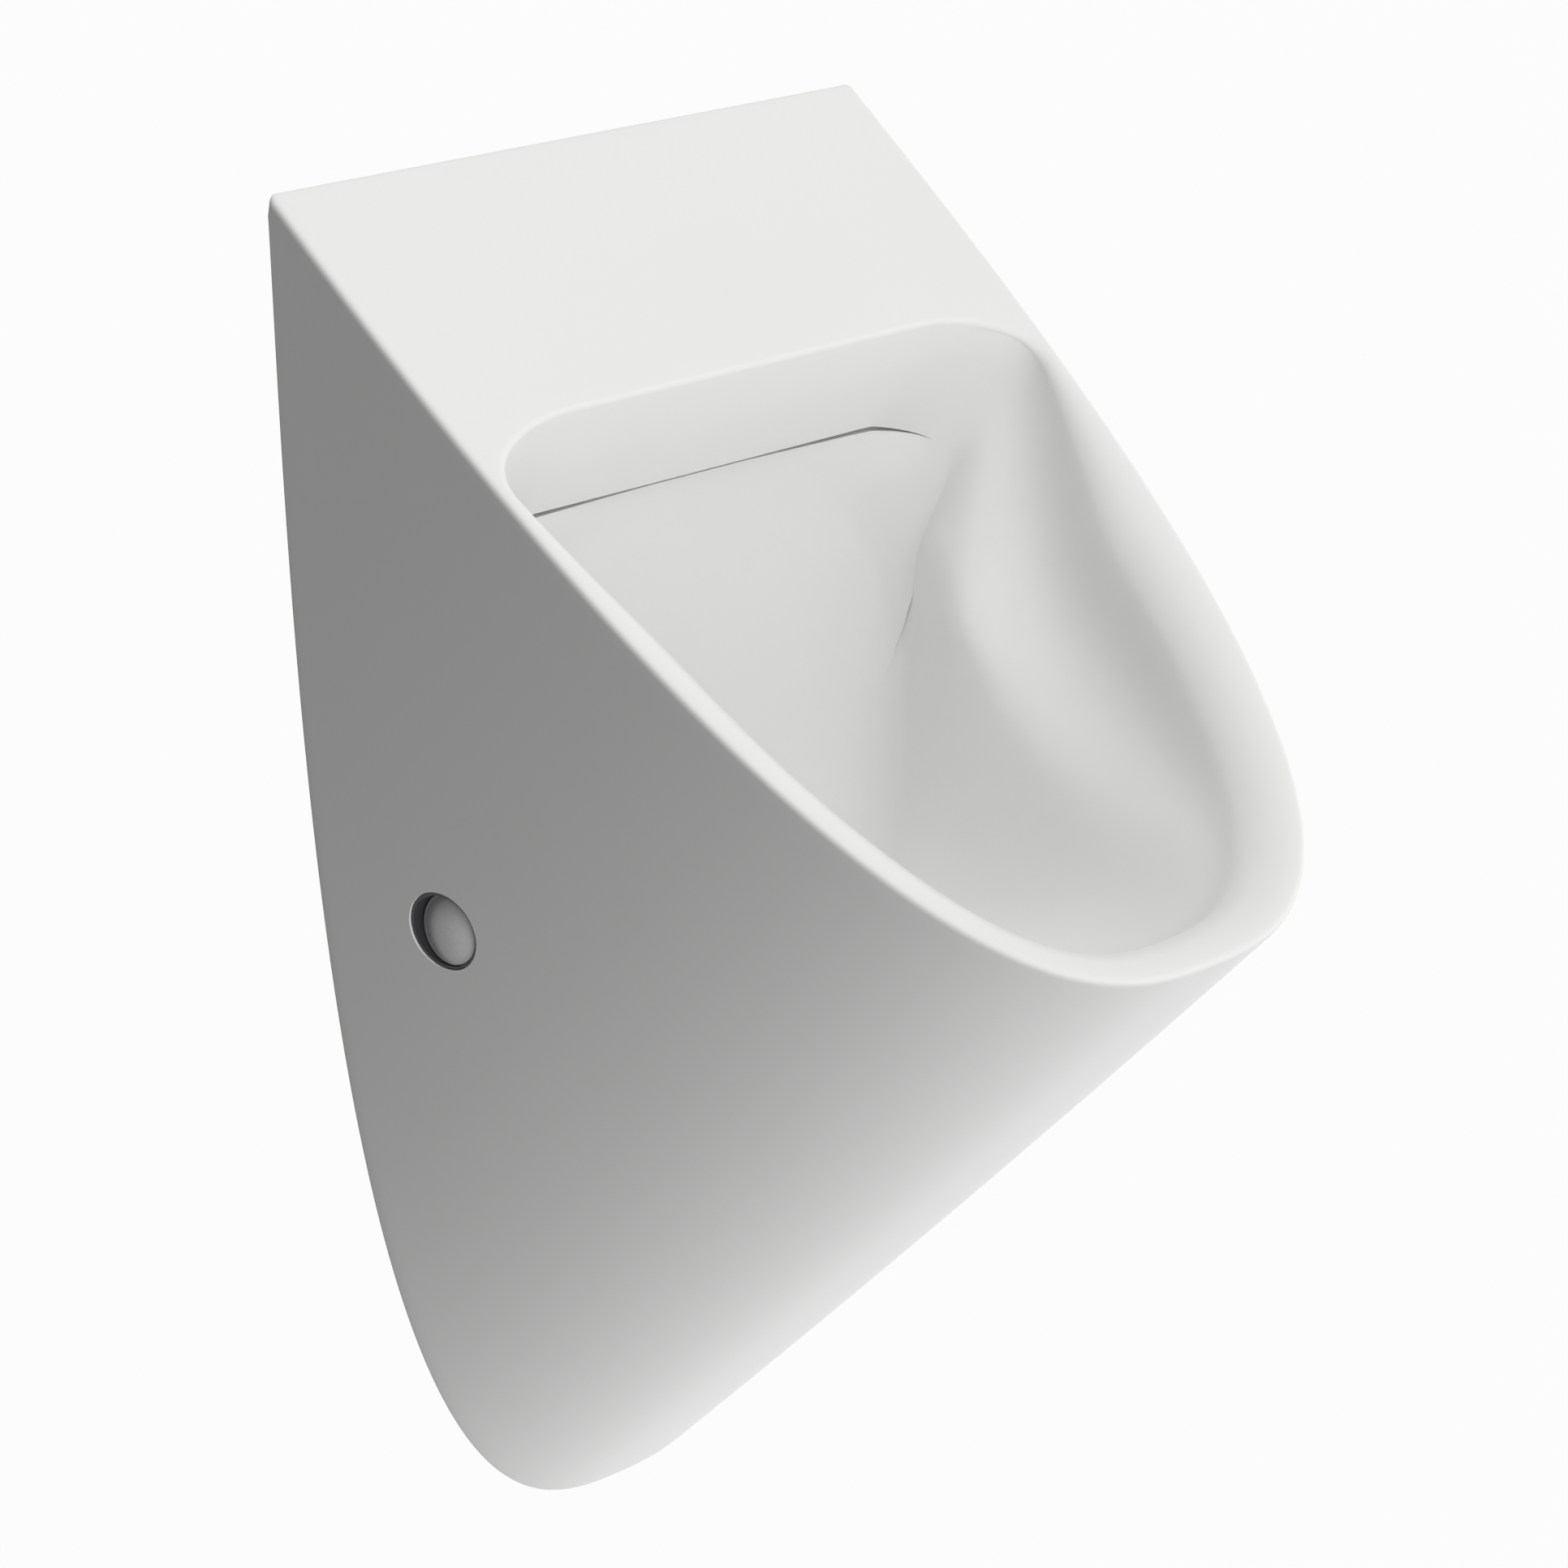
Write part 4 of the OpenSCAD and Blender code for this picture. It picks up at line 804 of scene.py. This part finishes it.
class URINAL_OT_cover_caps(bpy.types.Operator):
    """Builds the two domed cover caps with a rounded rim and their clip rings"""

    bl_idname = "urinal.cover_caps"
    bl_label = "Cover caps"

    def execute(self, context):
        look = context.scene.urinal_plastics
        material = moulded_material("cap_plastic", look.cap, 0.28, 500, 0.00002)
        for name, side in (("left", -1), ("right", 1)):
            low, high = (np.array(c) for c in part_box(f"cover_cap_{name}"))
            leg = (high[1] - low[1]) / 2
            radius = leg - 0.2 * MM
            inner, outer = sorted((abs(low[0]), abs(high[0])))
            edge = inner + 1.6 * MM
            bend = np.linspace(0, 1, 9)
            dome_r, rise = radius - 1.2 * MM, outer - edge - 1.2 * MM
            arc = np.linspace(0, math.pi / 2, 30)
            profile = [
                (0, edge), (leg - 1.6 * MM, edge), (leg - 1.2 * MM, edge - 0.4 * MM),
                (leg - 1.2 * MM, inner + 0.2 * MM), (leg - MM, inner), (leg - 0.2 * MM, inner),
                (leg, inner + 0.2 * MM), (leg, edge - 0.2 * MM), (radius, edge),
            ]
            for b in bend * math.pi / 2:
                profile.append((dome_r + 1.2 * MM * math.cos(b), edge + 0.5 * MM + 0.7 * MM * math.sin(b)))
            curve = dome_r * np.cos(arc)
            profile += [(r, edge + 1.2 * MM + rise * (1 - (r / dome_r) ** 2)) for r in curve[1:]]
            middle = Matrix.Translation((0, (low[1] + high[1]) / 2, (low[2] + high[2]) / 2))
            place = middle @ Matrix.Rotation(side * math.pi / 2, 4, "Y")
            cap = turned(f"domed_cap_{name}", profile, place)
            soften_shading(cap, 40)
            finish_piece(cap, material, f"{name}_cap", f"cover_cap_{name}")
        return {"FINISHED"}


class URINAL_OT_fixings(bpy.types.Operator):
    """Gives the bushes, screws, washers, brackets, hooks and pads their finishes"""

    bl_idname = "urinal.fixings"
    bl_label = "Fixings"

    def execute(self, context):
        look = context.scene.urinal_plastics
        black = moulded_material("black_nylon", look.dark, 0.45)
        zinc = plated_material("zinc_plate", (0.66, 0.67, 0.68), 0.34, (1, 6, 1), 0.08)
        dress(["fixing_bush_left", "fixing_bush_right", "hook_pads"], black)
        dress(["fixing_screw_left", "fixing_screw_right", "screw_washers", "bracket_nuts"], zinc)
        dress(["wall_bracket_left", "wall_bracket_right", "hanging_hook_left", "hanging_hook_right"], zinc)
        return {"FINISHED"}


class URINAL_OT_inlet(bpy.types.Operator):
    """Gives the concealed inlet its finishes, and every seal its rubber"""

    bl_idname = "urinal.inlet"
    bl_label = "Inlet"

    def execute(self, context):
        look = context.scene.urinal_plastics
        rubber = moulded_material("seal_rubber", (0.03, 0.03, 0.03), 0.7, 350, 0.0001)
        dress(["inlet_seal", "supply_washer", "flange_gasket", "waste_gasket"], rubber)
        dress(["trap_inlet_seal", "cup_seal", "outlet_seal"], rubber)
        dress(["inlet_pipe"], moulded_material("inlet_plastic", look.pipe, 0.35))
        dress(["inlet_locknut", "flush_spreader"], moulded_material("black_acetal", look.dark, 0.38))
        dress(["supply_nut"], plated_material("chromed_brass", (0.72, 0.72, 0.73), 0.12))
        return {"FINISHED"}


class URINAL_OT_drain_and_trap(bpy.types.Operator):
    """Gives the drain and the bottle trap their finishes"""

    bl_idname = "urinal.drain_and_trap"
    bl_label = "Drain and trap"

    def execute(self, context):
        look = context.scene.urinal_plastics
        steel = plated_material("polished_steel", (0.7, 0.7, 0.71), 0.2, (8, 1, 1))
        dress(["strainer", "waste_flange"], steel)
        dress(["waste_washer", "waste_nut", "trap_body"], moulded_material("trap_plastic", look.pipe, 0.4))
        dress(["dip_tube", "trap_cup"], moulded_material("cup_plastic", look.dark, 0.42))
        return {"FINISHED"}


class URINAL_OT_stage(bpy.types.Operator):
    """Makes the camera, the pale floor and the soft studio light"""

    bl_idname = "urinal.stage"
    bl_label = "Stage"

    def execute(self, context):
        settings = context.scene.urinal_stage
        self.camera(context, settings)
        self.floor(context)
        self.world(context, settings)
        context.scene.view_settings.view_transform = "Standard"
        return {"FINISHED"}

    def camera(self, context, settings):
        a, e, r = settings.azimuth, settings.elevation, settings.roll
        back = Vector((math.sin(a) * math.cos(e), -math.cos(a) * math.cos(e), math.sin(e)))
        right = (-back).cross(Vector((0, 0, 1))).normalized()
        up = right.cross(-back)
        side = right * math.cos(r) + up * math.sin(r)
        top = up * math.cos(r) - right * math.sin(r)
        data = bpy.data.cameras.new("camera")
        data.lens, data.sensor_width, data.sensor_fit = settings.lens, 36, "HORIZONTAL"
        data.clip_start, data.clip_end = 0.05, 60
        camera = bpy.data.objects.new("camera", data)
        context.scene.collection.objects.link(camera)
        aim = Vector((114.2 * MM, 0, BODY_HIGH[2] - 297.5 * MM))
        frame_axes = Matrix((side, top, back)).transposed().to_4x4()
        camera.matrix_world = Matrix.Translation(aim + back * settings.distance) @ frame_axes
        context.scene.camera = camera

    def floor(self, context):
        """A broad pale floor well below the body: nearly white to the camera, with a share of real light."""
        low = BODY_LOW[2] - 0.35
        points = np.array([[-14, -14, low], [14, -14, low], [14, 14, low], [-14, 14, low]])
        mesh = bpy.data.meshes.new("studio_floor")
        mesh.from_pydata(points.tolist(), [], [(0, 1, 2, 3)])
        floor = bpy.data.objects.new("studio_floor", mesh)
        context.scene.collection.objects.link(floor)
        material, tree, shader = new_material("studio_floor", (0.9, 0.9, 0.9), Roughness=0.9)
        path = add_node(tree, "ShaderNodeLightPath")
        seen = add_node(tree, "ShaderNodeMath", operation="MAXIMUM")
        seen_all = add_node(tree, "ShaderNodeMath", operation="MAXIMUM")
        tree.links.new(path.outputs["Is Camera Ray"], seen.inputs[0])
        tree.links.new(path.outputs["Is Glossy Ray"], seen.inputs[1])
        tree.links.new(seen.outputs[0], seen_all.inputs[0])
        tree.links.new(path.outputs["Is Transmission Ray"], seen_all.inputs[1])
        glow = add_node(tree, "ShaderNodeEmission", Strength=1.0)
        part = add_node(tree, "ShaderNodeMath", operation="MULTIPLY")
        part.inputs[1].default_value = 0.92
        tree.links.new(seen_all.outputs[0], part.inputs[0])
        mix = add_node(tree, "ShaderNodeMixShader")
        tree.links.new(part.outputs[0], mix.inputs[0])
        tree.links.new(shader.outputs[0], mix.inputs[1])
        tree.links.new(glow.outputs[0], mix.inputs[2])
        tree.links.new(mix.outputs[0], tree.nodes["Material Output"].inputs[0])
        mesh.materials.append(material)
        floor.visible_diffuse = floor.visible_glossy = floor.visible_shadow = False

    def world(self, context, settings):
        """Soft light made of broad lobes of light. The camera and reflections see plain white instead.

        Each lobe has the strength power * max(0, d . a) ** tightness, where a is its middle direction."""
        world = bpy.data.worlds.new("surround")
        world.use_nodes = True
        tree = world.node_tree
        shade = tree.nodes["Background"]
        where = add_node(tree, "ShaderNodeTexCoord").outputs["Generated"]
        total = None
        for azimuth, elevation, power in self.lobes(settings):
            a, e = math.radians(azimuth), math.radians(elevation)
            facing = add_node(tree, "ShaderNodeVectorMath", operation="DOT_PRODUCT")
            tree.links.new(where, facing.inputs[0])
            aim = (math.sin(a) * math.cos(e), -math.cos(a) * math.cos(e), math.sin(e))
            facing.inputs[1].default_value = aim
            lit = self.step(tree, "MAXIMUM", facing.outputs["Value"], 0)
            lobe = self.step(tree, "MULTIPLY", self.step(tree, "POWER", lit, settings.tightness), power)
            total = self.step(tree, "ADD", lobe, settings.fill if total is None else total)
        tree.links.new(total, shade.inputs["Strength"])
        shade.inputs["Color"].default_value = (1, 1, 1, 1)
        white = add_node(tree, "ShaderNodeBackground", Strength=1.0)
        white.inputs["Color"].default_value = (1, 1, 1, 1)
        path = add_node(tree, "ShaderNodeLightPath")
        mix = add_node(tree, "ShaderNodeMixShader")
        seen = self.step(tree, "MAXIMUM", path.outputs["Is Camera Ray"], path.outputs["Is Glossy Ray"])
        tree.links.new(self.step(tree, "MAXIMUM", seen, path.outputs["Is Transmission Ray"]), mix.inputs[0])
        tree.links.new(shade.outputs[0], mix.inputs[1])
        tree.links.new(white.outputs[0], mix.inputs[2])
        tree.links.new(mix.outputs[0], tree.nodes["World Output"].inputs[0])
        context.scene.world = world

    def lobes(self, settings):
        """Azimuth and elevation in degrees and the strength of each broad light."""
        return [
            (0, 70, settings.high_light), (-25, 20, settings.front_light), (0, -30, settings.low_light),
            (90, -5, settings.right_light), (150, 45, settings.rear_light),
        ]

    def step(self, tree, operation, one, two):
        """One sum on two values, each a socket or a number."""
        node = add_node(tree, "ShaderNodeMath", operation=operation)
        for socket, value in zip(node.inputs, (one, two)):
            if isinstance(value, (int, float)):
                socket.default_value = value
            else:
                tree.links.new(value, socket)
        return node.outputs[0]


class URINAL_PT_sidebar(bpy.types.Panel):
    """Lists the pieces of the urinal"""

    bl_idname = "URINAL_PT_sidebar"
    bl_label = "Urinal"
    bl_space_type = "VIEW_3D"
    bl_region_type = "UI"
    bl_category = "Urinal"

    def draw(self, context):
        layout = self.layout
        for operator in STEPS:
            layout.operator(operator.bl_idname)
        scene = context.scene
        for group in (scene.urinal_ceramic, scene.urinal_glaze, scene.urinal_plastics, scene.urinal_stage):
            box = layout.box()
            for key in group.bl_rna.properties.keys():
                if key not in ("rna_type", "name"):
                    box.prop(group, key)


STEPS = (
    URINAL_OT_ceramic_body,
    URINAL_OT_cover_caps,
    URINAL_OT_fixings,
    URINAL_OT_inlet,
    URINAL_OT_drain_and_trap,
    URINAL_OT_stage,
)
GROUPS = (CeramicSizes, GlazeLook, PlasticLook, StageSettings)
CLASSES = GROUPS + STEPS + (URINAL_PT_sidebar,)


def register():
    for item in CLASSES:
        bpy.utils.register_class(item)
    bpy.types.Scene.urinal_ceramic = PointerProperty(type=CeramicSizes)
    bpy.types.Scene.urinal_glaze = PointerProperty(type=GlazeLook)
    bpy.types.Scene.urinal_plastics = PointerProperty(type=PlasticLook)
    bpy.types.Scene.urinal_stage = PointerProperty(type=StageSettings)


def unregister():
    for name in ("urinal_ceramic", "urinal_glaze", "urinal_plastics", "urinal_stage"):
        delattr(bpy.types.Scene, name)
    for item in reversed(CLASSES):
        bpy.utils.unregister_class(item)


def main():
    register()
    bpy.ops.urinal.ceramic_body()
    bpy.ops.urinal.cover_caps()
    bpy.ops.urinal.fixings()
    bpy.ops.urinal.inlet()
    bpy.ops.urinal.drain_and_trap()
    bpy.ops.urinal.stage()
    bpy.context.view_layer.update()


if __name__ == "__main__":
    main()
